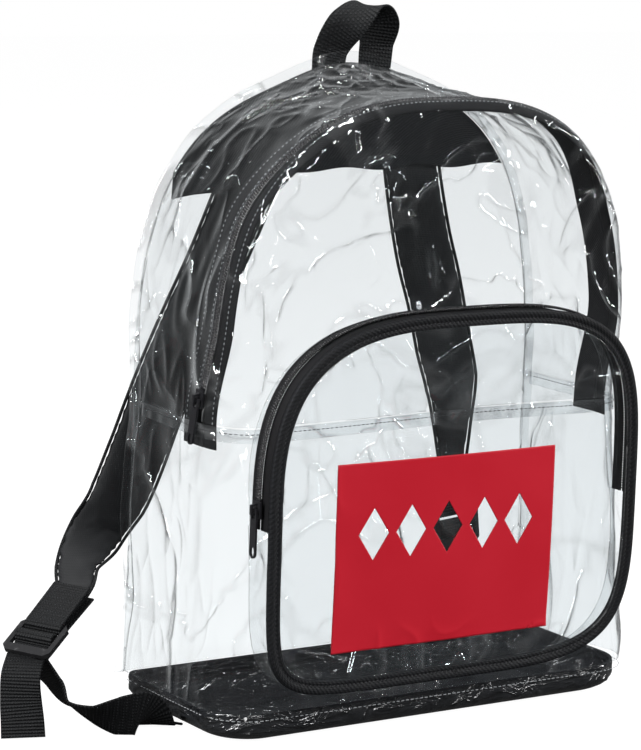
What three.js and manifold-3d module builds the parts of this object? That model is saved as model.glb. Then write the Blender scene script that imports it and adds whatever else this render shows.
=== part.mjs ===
// Clear arch-top backpack with a black base, a zipped front pocket, shoulder straps and a loop.
// Millimetres. X runs across the bag, +Y to its back, +Z up; the origin is under the middle of
// the base, on the floor. It stands as it was set down, with the left strap laid beside it.
import * as THREE from "three";
import { mergeVertices } from "three/addons/utils/BufferGeometryUtils.js";
import Module from "manifold-3d";

const wasm = await Module();
wasm.setup();

// Driving dimensions of the bag
const halfWidth = 154; // middle to side wall at the waist seam
const baseFlare = 3; // how much wider each side is at the floor
const depth = 120; // back edge to front plane
const waistHeight = 196; // floor to the seam round the waist
const archRise = 198; // waist seam to the top of the arch
const archPower = 2.8; // squareness of the arch
const cornerRadius = 22; // upright front corners at the waist
const baseCornerRadius = 30; // the same at the base
const archRoll = 12; // turn from the arch onto the front panel
const backBulge = 3; // fullness of the back panel
const handleLift = 14; // how far the loop pulls up the back edge
const handleLiftReach = 45;

// Driving dimensions of the walls
const filmWall = 1; // clear film
const clothWall = 1.2; // woven yoke
const tapeWall = 1; // zip tape
const webbingWall = 1.6;
const vinylWall = 1.6; // black base
const layerGap = 0.3; // between pieces that touch

// Driving dimensions of the base, seams and yoke
const baseWallHeight = 20;
const baseEdgeInset = 20; // rounded lower edge, inwards
const baseEdgeRise = 12; // rounded lower edge, upwards
const waistBandHeight = 8.5; // doubled strip below the seam
const flangeWidth = 7; // clear fin along the back seam
const flangeWall = 2;
const flangeInset = 0.4; // back panel and yoke inside the seam
const yokeRise = 142; // waist seam to the yoke's lower seam
const yokeLap = 8; // yoke over back panel

// Driving dimensions of the main zip
const coilWidth = 5.6;
const coilHeight = 2.2;
const coilSlotClearance = 0.5; // each side of the coil
const rollClearance = 0.8; // between the tape and the film where they turn together
const coilWaistY = -20; // coil line on the side wall at the waist
const coilSideY = -33; // coil line higher up the side wall
const coilTopY = -50; // coil line on top of the arch
const rearTapeWidth = 20;
const frontTapeWidth = 12;
const tapeTail = 15; // tape below the waist seam
const sliderHeight = 15; // slider above the waist seam

// Driving dimensions of the pocket
const pocketCentreX = -1.5;
const pocketCentreZ = 146;
const pocketHalfWidth = 140;
const pocketRise = 119; // centre to top edge
const pocketDrop = 114; // centre to bottom edge
const pocketReach = 24; // bag's front plane to the pocket's front edge
const pocketDome = 5;
const pocketWallDepths = [1, 2, 4.5]; // layers of the pocket's wall, in from its outline
const pocketRootGap = 1.1; // pocket wall to the body's front
const pocketBandGap = 2.1; // the same over the waist band
const bindingWidth = 9;
const bindingWall = 4.5;
const pocketTapeWidth = 7; // each half of the zip tape
const pocketCoilWidth = 5;
const pocketZipDrop = 8; // zip ends below the pocket's centre height
const pocketSliderDrop = -4; // above it
const printWidth = 164;
const printHeight = 118;
const printCentreX = -14;
const printCentreZ = 118;
const printWall = 0.6;

// Driving dimensions of the loop and straps
const handleWidth = 25;
const handleHeight = 53; // top of the loop above the back edge
const handleSpread = 18; // its middle to each foot
const handleCentreX = 5.5;
const handleFoot = 14; // length sewn onto the yoke
const padWidth = 47;
const padWall = 9;
const webbingWidth = 26;
const buckleWidth = 36;
const buckleWall = 3;

const backY = depth / 2;
const frontY = -depth / 2;
const baseHalfWidth = halfWidth + baseFlare;
const pocketFrontY = frontY - pocketReach;
const yokeHeight = waistHeight + yokeRise;
const bodyHeight = waistHeight + archRise;
const coilSlot = coilWidth + 2 * coilSlotClearance;
const bagMiddle = new THREE.Vector3(0, 0, waistHeight);
const tapeInset = filmWall + layerGap;
const yokeFaceY = backY + filmWall + layerGap + clothWall;

// Front face, before (+) or behind (-) its plane: up is a share of the height to the arch's
// top, forward a share of the depth.
const faceProfile = [
  { up: 0, forward: 0.05 },
  { up: 0.25, forward: 0.03 },
  { up: 0.5, forward: -0.04 },
  { up: 0.67, forward: -0.01 },
  { up: 0.84, forward: 0.03 },
  { up: 1, forward: 0.015 },
];

// Dents (+) and swells (-) of the soft shell: along is a share of the depth on a side wall and
// of the half width on the front, up and reachUp are shares of the waist height, push is a
// share of the corner radius.
const dents = [
  { wall: "left", along: 0.5, reach: 0.35, up: 1.02, reachUp: 0.22, push: 0.2 },
  { wall: "left", along: 0.5, reach: 0.3, up: 0.37, reachUp: 0.16, push: 0.25 },
  { wall: "left", along: 0, reach: 0.25, up: 0.55, reachUp: 0.2, push: 0.14 },
  { wall: "left", along: 0.15, reach: 0.3, up: 1.5, reachUp: 0.2, push: 0.1 },
  { wall: "right", along: 0.2, reach: 0.3, up: 0.75, reachUp: 0.2, push: 0.2 },
  { wall: "right", along: 0.3, reach: 0.3, up: 1.4, reachUp: 0.25, push: 0.16 },
  { wall: "right", along: -0.4, reach: 0.25, up: 0.18, reachUp: 0.16, push: -0.35 },
  { wall: "front", along: 0.25, reach: 0.55, up: 1, reachUp: 0.24, push: 0.42 },
  { wall: "front", along: -0.2, reach: 0.3, up: 1.55, reachUp: 0.2, push: 0.25 },
  { wall: "front", along: 0.35, reach: 0.25, up: 1.65, reachUp: 0.2, push: -0.2 },
];

const { lerp, clamp, smoothstep, degToRad } = THREE.MathUtils;

function profileAt(rows, key, value, at) {
  let row = 0;
  while (row < rows.length - 2 && at > rows[row + 1][key]) row += 1;
  const share = smoothstep(at, rows[row][key], rows[row + 1][key]);
  return lerp(rows[row][value], rows[row + 1][value], share);
}

// Moves a point of the shell by the dents.
function soften(at) {
  const moved = at.clone();
  const nearSide = smoothstep(Math.abs(at.x), halfWidth * 0.78, halfWidth * 0.95);
  for (const dent of dents) {
    const onFront = dent.wall === "front";
    const side = dent.wall === "left" ? -1 : 1;
    const along = onFront ? at.x / halfWidth : at.y / depth;
    const spread = ((along - dent.along) / dent.reach) ** 2;
    const rise = ((at.z / waistHeight - dent.up) / dent.reachUp) ** 2;
    const push = dent.push * cornerRadius * Math.exp(-spread - rise);
    if (onFront) moved.y += push * smoothstep(-at.y, 0, depth * 0.4);
    else if (at.x * side > 0) moved.x -= push * side * nearSide;
  }
  return moved;
}

// One closed geometry from points and triangles, welded, facing out.
function closedGeometry(points, faces) {
  const raw = new THREE.BufferGeometry().setFromPoints(points);
  raw.setIndex(faces.flat());
  const welded = mergeVertices(raw, 1e-3);
  const index = welded.index.array;
  const at = welded.getAttribute("position");
  const kept = [];
  let volume = 0;
  const corner = [new THREE.Vector3(), new THREE.Vector3(), new THREE.Vector3()];
  for (let i = 0; i < index.length; i += 3) {
    const [a, b, c] = index.slice(i, i + 3);
    if (a === b || b === c || a === c) continue;
    kept.push([a, b, c]);
    [a, b, c].forEach((n, k) => corner[k].fromBufferAttribute(at, n));
    volume += corner[0].dot(corner[1].clone().cross(corner[2]));
  }
  if (volume < 0) kept.forEach((face) => face.reverse());
  welded.setIndex(kept.flat());
  welded.computeVertexNormals();
  return welded;
}

// Outward normal of a surface point(u, v), away from a point inside the bag.
function surfaceNormal(point, u, v, inside) {
  const step = 1e-3;
  const u0 = clamp(u, step, 1 - step);
  const v0 = clamp(v, step, 1 - step);
  const du = point(u0 + step, v0).sub(point(u0 - step, v0));
  const dv = point(u0, v0 + step).sub(point(u0, v0 - step));
  const normal = du.cross(dv).normalize();
  const outwards = normal.dot(point(u0, v0).sub(inside)) > 0;
  return outwards ? normal : normal.negate();
}

// A wall of cloth or film over point(u, v), us and vs being shares 0 to 1. Its outer face lies
// inset below that surface, and with ring set the last column joins the first.
function sheet(point, us, vs, wall, options = {}) {
  const { inset = 0, ring = false, inside = bagMiddle, shape = soften } = options;
  const points = [];
  for (const layer of [inset, inset + wall])
    for (const v of vs)
      for (const u of us) {
        const normal = surfaceNormal(point, u, v, inside);
        points.push(shape(point(u, v).addScaledVector(normal, -layer)));
      }
  const columns = us.length;
  const rows = vs.length;
  const at = (layer, row, column) => (layer * rows + row) * columns + (column % columns);
  const faces = [];
  const quad = (a, b, c, d) => faces.push([a, b, c], [a, c, d]);
  const spans = ring ? columns : columns - 1;
  for (let row = 0; row < rows - 1; row += 1)
    for (let column = 0; column < spans; column += 1) {
      const next = column + 1;
      quad(at(0, row, column), at(0, row, next), at(0, row + 1, next), at(0, row + 1, column));
      quad(at(1, row + 1, column), at(1, row + 1, next), at(1, row, next), at(1, row, column));
    }
  for (let column = 0; column < spans; column += 1) {
    const next = column + 1;
    quad(at(0, 0, column), at(1, 0, column), at(1, 0, next), at(0, 0, next));
    const last = rows - 1;
    quad(at(0, last, next), at(1, last, next), at(1, last, column), at(0, last, column));
  }
  for (let row = 0; row < rows - 1 && !ring; row += 1) {
    quad(at(0, row + 1, 0), at(1, row + 1, 0), at(1, row, 0), at(0, row, 0));
    const end = columns - 1;
    quad(at(0, row, end), at(1, row, end), at(1, row + 1, end), at(0, row + 1, end));
  }
  return closedGeometry(points, faces);
}

// A bar swept through stations { at, across, up }, each with its own section of
// [across, up] corners; with ring set the last station joins the first.
function sweep(stations, sectionAt, { ring = false, shape = (p) => p } = {}) {
  const corners = sectionAt(0).length;
  const points = stations.flatMap((station, i) =>
    sectionAt(i).map(([across, up]) => {
      const at = station.at.clone().addScaledVector(station.across, across);
      return shape(at.addScaledVector(station.up, up));
    }),
  );
  const faces = [];
  const spans = ring ? stations.length : stations.length - 1;
  for (let i = 0; i < spans; i += 1)
    for (let k = 0; k < corners; k += 1) {
      const here = i * corners;
      const there = ((i + 1) % stations.length) * corners;
      const next = (k + 1) % corners;
      faces.push([here + k, here + next, there + next], [here + k, there + next, there + k]);
    }
  const end = (stations.length - 1) * corners;
  for (let k = 1; k < corners - 1 && !ring; k += 1)
    faces.push([0, k + 1, k], [end, end + k, end + k + 1]);
  return closedGeometry(points, faces);
}

const steps = (count, from = 0, to = 1) =>
  Array.from({ length: count + 1 }, (_, i) => lerp(from, to, i / count));

const rectangle = (width, wall) => [
  [-width / 2, -wall / 2],
  [width / 2, -wall / 2],
  [width / 2, wall / 2],
  [-width / 2, wall / 2],
];

// Booleans between closed geometries
function solidOf(geometry) {
  const bare = geometry.clone();
  bare.deleteAttribute("normal");
  bare.deleteAttribute("uv");
  const merged = mergeVertices(bare, 1e-3);
  const vertProperties = new Float32Array(merged.getAttribute("position").array);
  const triVerts = new Uint32Array(merged.index.array);
  return new wasm.Manifold(new wasm.Mesh({ numProp: 3, vertProperties, triVerts }));
}

function geometryOf(solid) {
  const mesh = solid.getMesh();
  const geometry = new THREE.BufferGeometry();
  geometry.setAttribute("position", new THREE.BufferAttribute(mesh.vertProperties, 3));
  geometry.setIndex(new THREE.BufferAttribute(mesh.triVerts, 1));
  geometry.computeVertexNormals();
  return geometry;
}

// Shape of the shell
const archCurve = new THREE.CatmullRomCurve3(
  steps(90).map((share) => {
    const turn = Math.PI * share;
    const out = Math.abs(Math.cos(turn)) ** (2 / archPower) * -Math.sign(Math.cos(turn));
    const up = Math.sin(turn) ** (2 / archPower);
    return new THREE.Vector3(halfWidth * out, 0, waistHeight + archRise * up);
  }),
);
const archLength = archCurve.getLength();

const wallHalfWidth = (z) => lerp(baseHalfWidth, halfWidth, smoothstep(z, 0, waistHeight));

function archHalfWidth(z) {
  if (z <= waistHeight) return wallHalfWidth(z);
  const up = clamp((z - waistHeight) / archRise, 0, 1);
  return halfWidth * (1 - up ** archPower) ** (1 / archPower);
}

const faceY = (z) => frontY - depth * profileAt(faceProfile, "up", "forward", z / bodyHeight);

function coilY(z) {
  const rise = (z - waistHeight) / archRise;
  const onSide = lerp(coilWaistY, coilSideY, smoothstep(rise, 0, 0.32));
  return lerp(onSide, coilTopY, smoothstep(rise, 0.6, 0.95));
}

const frontEdgeY = (z) => coilY(z) - coilSlot / 2;

function cornerStartY(z) {
  if (z >= waistHeight) return frontEdgeY(z);
  return lerp(faceY(0) + baseCornerRadius, frontEdgeY(waistHeight), z / waistHeight);
}

const cornerAt = (z) =>
  lerp(baseCornerRadius, cornerRadius, clamp(z / waistHeight, 0, 1));

// The outline at depth y: shares below 0 and above 1 run down the side walls.
function rimPoint(share, y) {
  const below = Math.max(-share, share - 1, 0) * archLength;
  const on = archCurve.getPointAt(clamp(share, 0, 1));
  const z = on.z - below;
  const x = below > 0 ? Math.sign(on.x) * wallHalfWidth(z) : on.x;
  const atBack = smoothstep(y, 0, backY);
  const lift = handleLift * Math.exp(-((x / handleLiftReach) ** 2)) * atBack;
  return new THREE.Vector3(x, y, z + lift * clamp((z - waistHeight) / archRise, 0, 1));
}


// The front panel from its arch edge (v = 0) round the turn (v = 0.5) to its foot (v = 1).
function frontPanelPoint(share, v) {
  const turn = clamp(v / 0.5, 0, 1) * (Math.PI / 2);
  const below = Math.max(-share, share - 1, 0) * archLength;
  const edge = archCurve.getPointAt(clamp(share, 0, 1));
  if (below > 0) {
    const z = waistHeight - below;
    const x = wallHalfWidth(z) - cornerAt(z) * (1 - Math.cos(turn));
    const start = cornerStartY(z);
    const y = start + (faceY(z) - start) * Math.sin(turn);
    return new THREE.Vector3(Math.sign(edge.x) * x, y, z);
  }
  const up = (edge.z - waistHeight) / archRise;
  const roll = lerp(cornerRadius / halfWidth, archRoll / archRise, smoothstep(up, 0, 1));
  const inner = clamp((v - 0.5) / 0.5, 0, 1);
  const size = v < 0.5 ? 1 - roll * (1 - Math.cos(turn)) : (1 - roll) * (1 - inner);
  const z = waistHeight + size * (edge.z - waistHeight);
  const start = frontEdgeY(edge.z);
  return new THREE.Vector3(size * edge.x, start + (faceY(z) - start) * Math.sin(turn), z);
}

// Sides, corners and front below the waist, u from the left back edge to the right one.
const sideShare = 0.16;
const cornerShare = 0.14;
function wrapPoint(u, z) {
  const side = u < 0.5 ? -1 : 1;
  const m = u < 0.5 ? u : 1 - u;
  const start = cornerStartY(z);
  const wide = archHalfWidth(z);
  const corner = cornerAt(z);
  if (m <= sideShare)
    return new THREE.Vector3(side * wide, lerp(backY - layerGap, start, m / sideShare), z);
  const turn = clamp((m - sideShare) / cornerShare, 0, 1) * (Math.PI / 2);
  const front = clamp((m - sideShare - cornerShare) / (0.5 - sideShare - cornerShare), 0, 1);
  const x = (wide - corner * (1 - Math.cos(turn))) * (1 - front);
  return new THREE.Vector3(side * x, start + (faceY(z) - start) * Math.sin(turn), z);
}
const wrapColumns = [
  ...steps(3, 0, sideShare),
  ...steps(4, sideShare, sideShare + cornerShare).slice(1),
  ...steps(8, sideShare + cornerShare, 1 - sideShare - cornerShare).slice(1),
  ...steps(4, 1 - sideShare - cornerShare, 1 - sideShare).slice(1),
  ...steps(3, 1 - sideShare, 1).slice(1),
];

const finishes = {
  clear: { color: 0xdfe4e6, roughness: 0.08, metalness: 0 },
  vinyl: { color: 0x101214, roughness: 0.2, metalness: 0 },
  cloth: { color: 0x0b0c0e, roughness: 0.85, metalness: 0 },
  zip: { color: 0x0d0d0f, roughness: 0.6, metalness: 0 },
  metal: { color: 0x1b1c1e, roughness: 0.35, metalness: 0.6 },
  plastic: { color: 0x0d0e10, roughness: 0.3, metalness: 0 },
  print: { color: 0xc8142d, roughness: 0.35, metalness: 0 },
};
const materials = Object.fromEntries(
  Object.entries(finishes).map(([name, finish]) => [
    name,
    new THREE.MeshStandardMaterial({ name, ...finish }),
  ]),
);
const bag = new THREE.Group();

function add(name, geometry, finish, place = null) {
  const mesh = new THREE.Mesh(geometry, materials[finish]);
  mesh.name = name;
  if (place) mesh.applyMatrix4(place);
  bag.add(mesh);
}

// Base tray: walls rolled under into a flat floor
function trayOutline(inset, z) {
  const wide = wallHalfWidth(z) - inset;
  const corner = baseCornerRadius - inset * 0.5;
  const front = faceY(z) + inset;
  const back = backY - inset;
  const backCorner = 10;
  const shape = new THREE.Shape();
  shape.moveTo(wide - backCorner, back);
  shape.lineTo(-wide + backCorner, back);
  shape.absarc(-wide + backCorner, back - backCorner, backCorner, Math.PI / 2, Math.PI);
  shape.absarc(-wide + corner, front + corner, corner, Math.PI, Math.PI * 1.5);
  shape.absarc(wide - corner, front + corner, corner, Math.PI * 1.5, Math.PI * 2);
  shape.absarc(wide - backCorner, back - backCorner, backCorner, 0, Math.PI / 2);
  return shape.extractPoints(5).shape.map((p) => new THREE.Vector3(p.x, p.y, z));
}

function stackedSolid(layers) {
  const ring = layers[0].length;
  const faces = [];
  const flat = THREE.ShapeUtils.triangulateShape(
    layers[0].map((p) => new THREE.Vector2(p.x, p.y)),
    [],
  );
  const top = (layers.length - 1) * ring;
  for (const [a, b, c] of flat) faces.push([a, c, b], [top + a, top + b, top + c]);
  for (let i = 0; i < layers.length - 1; i += 1)
    for (let k = 0; k < ring; k += 1) {
      const next = (k + 1) % ring;
      const low = i * ring;
      const high = low + ring;
      faces.push([low + k, low + next, high + next], [low + k, high + next, high + k]);
    }
  return closedGeometry(layers.flat(), faces);
}

const edgeTurns = steps(3, 0, Math.PI / 2);
const trayLayers = (wall, top) => [
  ...edgeTurns.map((turn) => {
    const inset = baseEdgeInset * (1 - Math.sin(turn));
    const rise = baseEdgeRise * (1 - Math.cos(turn));
    return trayOutline(inset + wall, Math.max(rise, 0) + wall * Math.cos(turn));
  }),
  trayOutline(wall, top),
];
const trayOuter = solidOf(stackedSolid(trayLayers(0, baseWallHeight)));
const trayInner = solidOf(stackedSolid(trayLayers(vinylWall, baseWallHeight + vinylWall)));
add("base_tray", geometryOf(trayOuter.subtract(trayInner)), "vinyl");

// Shell below the waist
const wrapFoot = baseWallHeight + layerGap;
const wrapTop = waistHeight - layerGap / 2;
const bandFoot = waistHeight - waistBandHeight;
const wallHeights = [...steps(6, wrapFoot, bandFoot), (bandFoot + wrapTop) / 2, wrapTop];
const shareOf = (values) => values.map((n) => (n - values[0]) / (values.at(-1) - values[0]));
add(
  "lower_wrap",
  sheet(
    (u, v) => wrapPoint(u, lerp(wrapFoot, wrapTop, v)),
    wrapColumns,
    shareOf(wallHeights),
    filmWall,
  ),
  "clear",
);
const bandEnd = (sideShare * (flangeWall + layerGap)) / backY; // clears the back seam's fin
const bandColumns = [bandEnd, ...wrapColumns.slice(1, -1), 1 - bandEnd];
add(
  "waist_seam_band",
  sheet((u, v) => wrapPoint(u, lerp(bandFoot, wrapTop, v)), bandColumns, steps(2), filmWall, {
    inset: -filmWall - layerGap,
  }),
  "clear",
);

// Shell above the waist
const archShares = steps(34, layerGap / archLength, 1 - layerGap / archLength);
const onArch = (u) => lerp(archShares[0], archShares.at(-1), u);
const panelRows = [0, 0.12, 0.25, 0.38, 0.5, 0.63, 0.8, 1];
const panelFoot = waistHeight + filmWall;
const panelPoint = (u, v) => {
  const at = frontPanelPoint(onArch(u), v);
  return at.setZ(Math.max(at.z, panelFoot));
};
add("front_panel", sheet(panelPoint, shareOf(archShares), panelRows, filmWall), "clear");
const gussetPoint = (u, v) => {
  const share = onArch(u);
  const edge = coilY(rimPoint(share, 0).z) + coilSlot / 2;
  return rimPoint(share, lerp(backY - layerGap, edge, v));
};
add("upper_gusset", sheet(gussetPoint, shareOf(archShares), steps(3), filmWall), "clear");

// Back panel, yoke and the fin of the back seam
const panelTop = yokeHeight + yokeLap;
const archHeights = archShares.map((share) => archCurve.getPointAt(share).z);
const backHeights = [
  ...wallHeights.slice(0, -2),
  ...archHeights.slice(0, archShares.length / 2).filter((z) => z < panelTop - 1),
  panelTop,
];
const backPoint = (u, v) => {
  const z = lerp(wrapFoot, panelTop, v);
  const wide = archHalfWidth(z) - flangeInset;
  const fullness = Math.sin(Math.PI * u) * Math.sin(Math.PI * clamp(z / panelTop, 0, 1));
  return new THREE.Vector3(lerp(-wide, wide, u), backY + filmWall + backBulge * fullness, z);
};
add("back_panel", sheet(backPoint, steps(8), shareOf(backHeights), filmWall), "clear");
const yokeStart = steps(400, 0, 0.5).find((s) => rimPoint(s, 0).z > yokeHeight + 2);
const yokePoint = (u, v) => {
  const top = rimPoint(lerp(yokeStart, 1 - yokeStart, u), backY);
  top.add(new THREE.Vector3(-top.x, 0, waistHeight - top.z).setLength(flangeInset));
  const wide = archHalfWidth(yokeHeight);
  const wave = 1.5 * Math.sin(u * Math.PI * 9);
  const foot = new THREE.Vector3(lerp(-wide, wide, u), 0, yokeHeight + wave);
  return foot.lerp(top, v).setY(yokeFaceY);
};
add("back_yoke", sheet(yokePoint, steps(24), steps(4), clothWall), "cloth");

const legShares = wallHeights.slice(0, -1).map((z) => (z - waistHeight) / archLength);
const finShares = [...legShares, ...archShares, ...legShares.map((s) => 1 - s).reverse()];
const finStations = finShares.map((share) => {
  const at = rimPoint(share, backY);
  const along = rimPoint(share + 1e-3, backY).sub(rimPoint(share - 1e-3, backY)).normalize();
  const across = new THREE.Vector3(-along.z, 0, along.x);
  if (across.dot(new THREE.Vector3(at.x, 0, at.z - waistHeight)) < 0) across.negate();
  return { at, across, up: new THREE.Vector3(0, 1, 0) };
});
const finSection = [
  [layerGap, -flangeWall / 2],
  [flangeWidth, -flangeWall / 2],
  [flangeWidth, flangeWall / 2],
  [layerGap, flangeWall / 2],
];
add(
  "back_seam_flange",
  sweep(finStations, () => finSection, { shape: soften }),
  "clear",
);

// Main zip
const tapeEnd = tapeTail / archLength;
const tapeShares = [-tapeEnd, ...archShares, 1 + tapeEnd];
const onTape = (u) => lerp(-tapeEnd, 1 + tapeEnd, u);
const tapePoint = (from, to) => (u, v) => {
  const share = onTape(u);
  const line = coilY(rimPoint(share, 0).z);
  return rimPoint(share, lerp(line + from, line + to, v));
};
const tapeInner = coilWidth / 2 - 1;
add(
  "main_zip_tape_rear",
  sheet(tapePoint(tapeInner, rearTapeWidth), shareOf(tapeShares), steps(1), tapeWall, {
    inset: tapeInset,
  }),
  "zip",
);
const frontTapePoint = (u, v) => {
  const share = onTape(u);
  const edge = archCurve.getPointAt(clamp(share, 0, 1));
  const reach = Math.abs(faceY(edge.z) - frontEdgeY(edge.z));
  const turn = Math.min(frontTapeWidth / reach, 1.1);
  return frontPanelPoint(share, (0.5 * turn * v) / (Math.PI / 2));
};
add(
  "main_zip_tape_front",
  sheet(frontTapePoint, shareOf(tapeShares), steps(2), tapeWall, {
    inset: filmWall + rollClearance,
  }),
  "zip",
);
const coilStart = (sliderHeight + 9) / archLength;
const coilShares = [coilStart, ...archShares.filter((share) => share > coilStart + 0.005)];
const coilPoint = (u, v) => {
  const share = lerp(coilStart, coilShares.at(-1), u);
  const line = coilY(rimPoint(share, 0).z);
  return rimPoint(share, line + lerp(coilWidth / 2, -coilWidth / 2, v));
};
add(
  "main_zip_coil",
  sheet(coilPoint, shareOf(coilShares), steps(1), coilHeight, { inset: filmWall - coilHeight }),
  "zip",
);

// Slider and its pull, in the slider's own frame: X across the zip, Y up it, Z out
const slider = { length: 12, slot: 4.6, plate: 9, foot: 1.4, top: 2.6 };
const bridge = { wide: 1.8, reach: 4, hole: 2.1, rise: 6.8, wall: 1.3 };
const pull = { wide: 6.6, length: 30, wall: 1.3, bar: 1.4, eye: 5.8, eyeWide: 3.4, axis: 4.1 };

function block(width, length, foot, top) {
  const geometry = new THREE.BoxGeometry(width, length, top - foot);
  return geometry.translate(0, 0, (foot + top) / 2);
}

function sliderGeometry() {
  const side = new THREE.Shape();
  side.moveTo(-bridge.reach, slider.top - 0.4);
  side.lineTo(bridge.reach, slider.top - 0.4);
  side.lineTo(bridge.hole + 0.9, bridge.rise);
  side.lineTo(-bridge.hole - 0.9, bridge.rise);
  const hole = new THREE.Path();
  hole.moveTo(-bridge.hole, slider.top);
  hole.lineTo(-bridge.hole, bridge.rise - bridge.wall);
  hole.lineTo(bridge.hole, bridge.rise - bridge.wall);
  hole.lineTo(bridge.hole, slider.top);
  side.holes.push(hole);
  const arch = new THREE.ExtrudeGeometry(side, { depth: bridge.wide, bevelEnabled: false });
  arch.translate(0, 0, -bridge.wide / 2);
  arch.applyMatrix4(
    new THREE.Matrix4().makeBasis(
      new THREE.Vector3(0, 1, 0),
      new THREE.Vector3(0, 0, 1),
      new THREE.Vector3(1, 0, 0),
    ),
  );
  const body = solidOf(block(slider.slot, slider.length, 0, slider.foot + 0.2));
  const plate = solidOf(block(slider.plate, slider.length - 2, slider.foot, slider.top));
  return geometryOf(body.add(plate).add(solidOf(arch)));
}

function pullGeometry() {
  const half = pull.wide / 2;
  const shape = new THREE.Shape();
  shape.moveTo(-half, pull.bar / 2);
  shape.lineTo(-half, -pull.length + half);
  shape.absarc(0, -pull.length + half, half, Math.PI, Math.PI * 2);
  shape.lineTo(half, pull.bar / 2);
  const eye = new THREE.Path();
  eye.moveTo(-pull.eyeWide / 2, -pull.bar / 2);
  eye.lineTo(pull.eyeWide / 2, -pull.bar / 2);
  eye.lineTo(pull.eyeWide / 2, -pull.eye);
  eye.lineTo(-pull.eyeWide / 2, -pull.eye);
  const ring = new THREE.Path();
  ring.absellipse(0, -pull.length + half + 0.8, half - 1.3, half, 0, Math.PI * 2);
  shape.holes.push(eye, ring);
  const geometry = new THREE.ExtrudeGeometry(shape, {
    depth: pull.wall,
    bevelEnabled: false,
    curveSegments: 6,
  });
  return geometry.translate(0, 0, pull.axis - pull.wall / 2);
}

// Frame of a slider whose foot stands `lift` off the surface point(share, line).
function sliderPlace(point, share, inside, lift) {
  const along = point(share + 0.002).sub(point(share - 0.002)).normalize();
  const at = point(share);
  const out = at.clone().sub(inside).setY(0).normalize();
  out.addScaledVector(along, -out.dot(along)).normalize();
  const across = along.clone().cross(out);
  at.addScaledVector(out, lift);
  return new THREE.Matrix4().makeBasis(across, along, out).setPosition(at);
}

const mainSliderShare = sliderHeight / archLength;
const onCoil = (share) => rimPoint(share, coilY(rimPoint(share, 0).z));
const softCoil = (share) => soften(onCoil(share));
const mainSliderPlace = sliderPlace(softCoil, mainSliderShare, bagMiddle, -filmWall);
add("main_zip_slider", sliderGeometry(), "metal", mainSliderPlace);
add("main_zip_pull", pullGeometry(), "metal", mainSliderPlace);

// Pocket outline, share 0 at the middle of its foot, running to the left side first
const pocketPower = { leftTop: 2.9, rightTop: 3.7, leftFoot: 7, rightFoot: 4.2 };
const pocketCurve = new THREE.CatmullRomCurve3(
  steps(96)
    .slice(0, -1)
    .map((share) => {
      const turn = 2 * Math.PI * share;
      const out = -Math.sin(turn);
      const up = -Math.cos(turn);
      const half = up > 0 ? "Top" : "Foot";
      const power = pocketPower[(out < 0 ? "left" : "right") + half];
      const x = Math.sign(out) * Math.abs(out) ** (2 / power) * pocketHalfWidth;
      const reach = up > 0 ? pocketRise : pocketDrop;
      const z = Math.sign(up) * Math.abs(up) ** (2 / power) * reach;
      return new THREE.Vector3(pocketCentreX + x, 0, pocketCentreZ + z);
    }),
  true,
);
const pocketMiddle = new THREE.Vector3(pocketCentreX, (frontY + pocketFrontY) / 2, pocketCentreZ);

// A point of the outline moved inwards by inset.
function pocketPoint(share, inset, y) {
  const wrapped = share - Math.floor(share);
  const at = pocketCurve.getPointAt(wrapped);
  const along = pocketCurve.getTangentAt(wrapped);
  const inwards = new THREE.Vector3(-along.z, 0, along.x);
  if (inwards.dot(at.clone().sub(pocketMiddle)) > 0) inwards.negate();
  return at.addScaledVector(inwards, inset).setY(y);
}

// Depth of the body's front face at (x, z).
const frontMeshes = ["front_panel", "lower_wrap"].map((name) => bag.getObjectByName(name));
const caster = new THREE.Raycaster();
function bodyFrontY(x, z) {
  caster.set(new THREE.Vector3(x, frontY - depth, z), new THREE.Vector3(0, 1, 0));
  const hits = caster.intersectObjects(frontMeshes);
  return hits.length ? hits[0].point.y : frontY;
}

const pocketCoilAt = bindingWall / 2 + pocketTapeWidth + pocketCoilWidth / 2;
const pocketRearY = pocketFrontY + bindingWall / 2 + layerGap;
const pocketCoilY = pocketFrontY + pocketCoilAt;
const pocketTapeRearY = pocketCoilY + pocketCoilWidth / 2 + pocketTapeWidth;

// The pocket's side wall at depth y, which reaches back to the body's front.
const pocketWallPoint = (share, y) => pocketPoint(share, 1, y);
function pocketRootY(share) {
  const fronts = pocketWallDepths.map((inset) => {
    const at = pocketPoint(share, inset, 0);
    return bodyFrontY(at.x, at.z);
  });
  const height = pocketPoint(share, 1, 0).z;
  const overBand = Math.abs(height - waistHeight) < 3.5 * waistBandHeight;
  return Math.min(...fronts) - (overBand ? pocketBandGap : pocketRootGap);
}
const shareAbove = (drop, side) =>
  steps(400, 0.05, 0.5).find((s) => pocketPoint(side * s, 0, 0).z > pocketCentreZ - drop);
const zipStart = shareAbove(pocketZipDrop, 1);
const zipEnd = 1 - shareAbove(pocketZipDrop, -1);
const endGap = layerGap / pocketCurve.getLength();
const tapeLap = 4; // clear wall under the rear tape's edge
const coilLap = 1; // tape under the coil's edge
const zipSpan = [zipStart + endGap, zipEnd - endGap];
const zipSteps = 30;
const pocketSliderShare = shareAbove(pocketSliderDrop, 1);
const coilClearOfSlider = 9;
const coilSpan = [
  pocketSliderShare + coilClearOfSlider / pocketCurve.getLength(),
  zipEnd - 4 * endGap,
];
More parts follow.
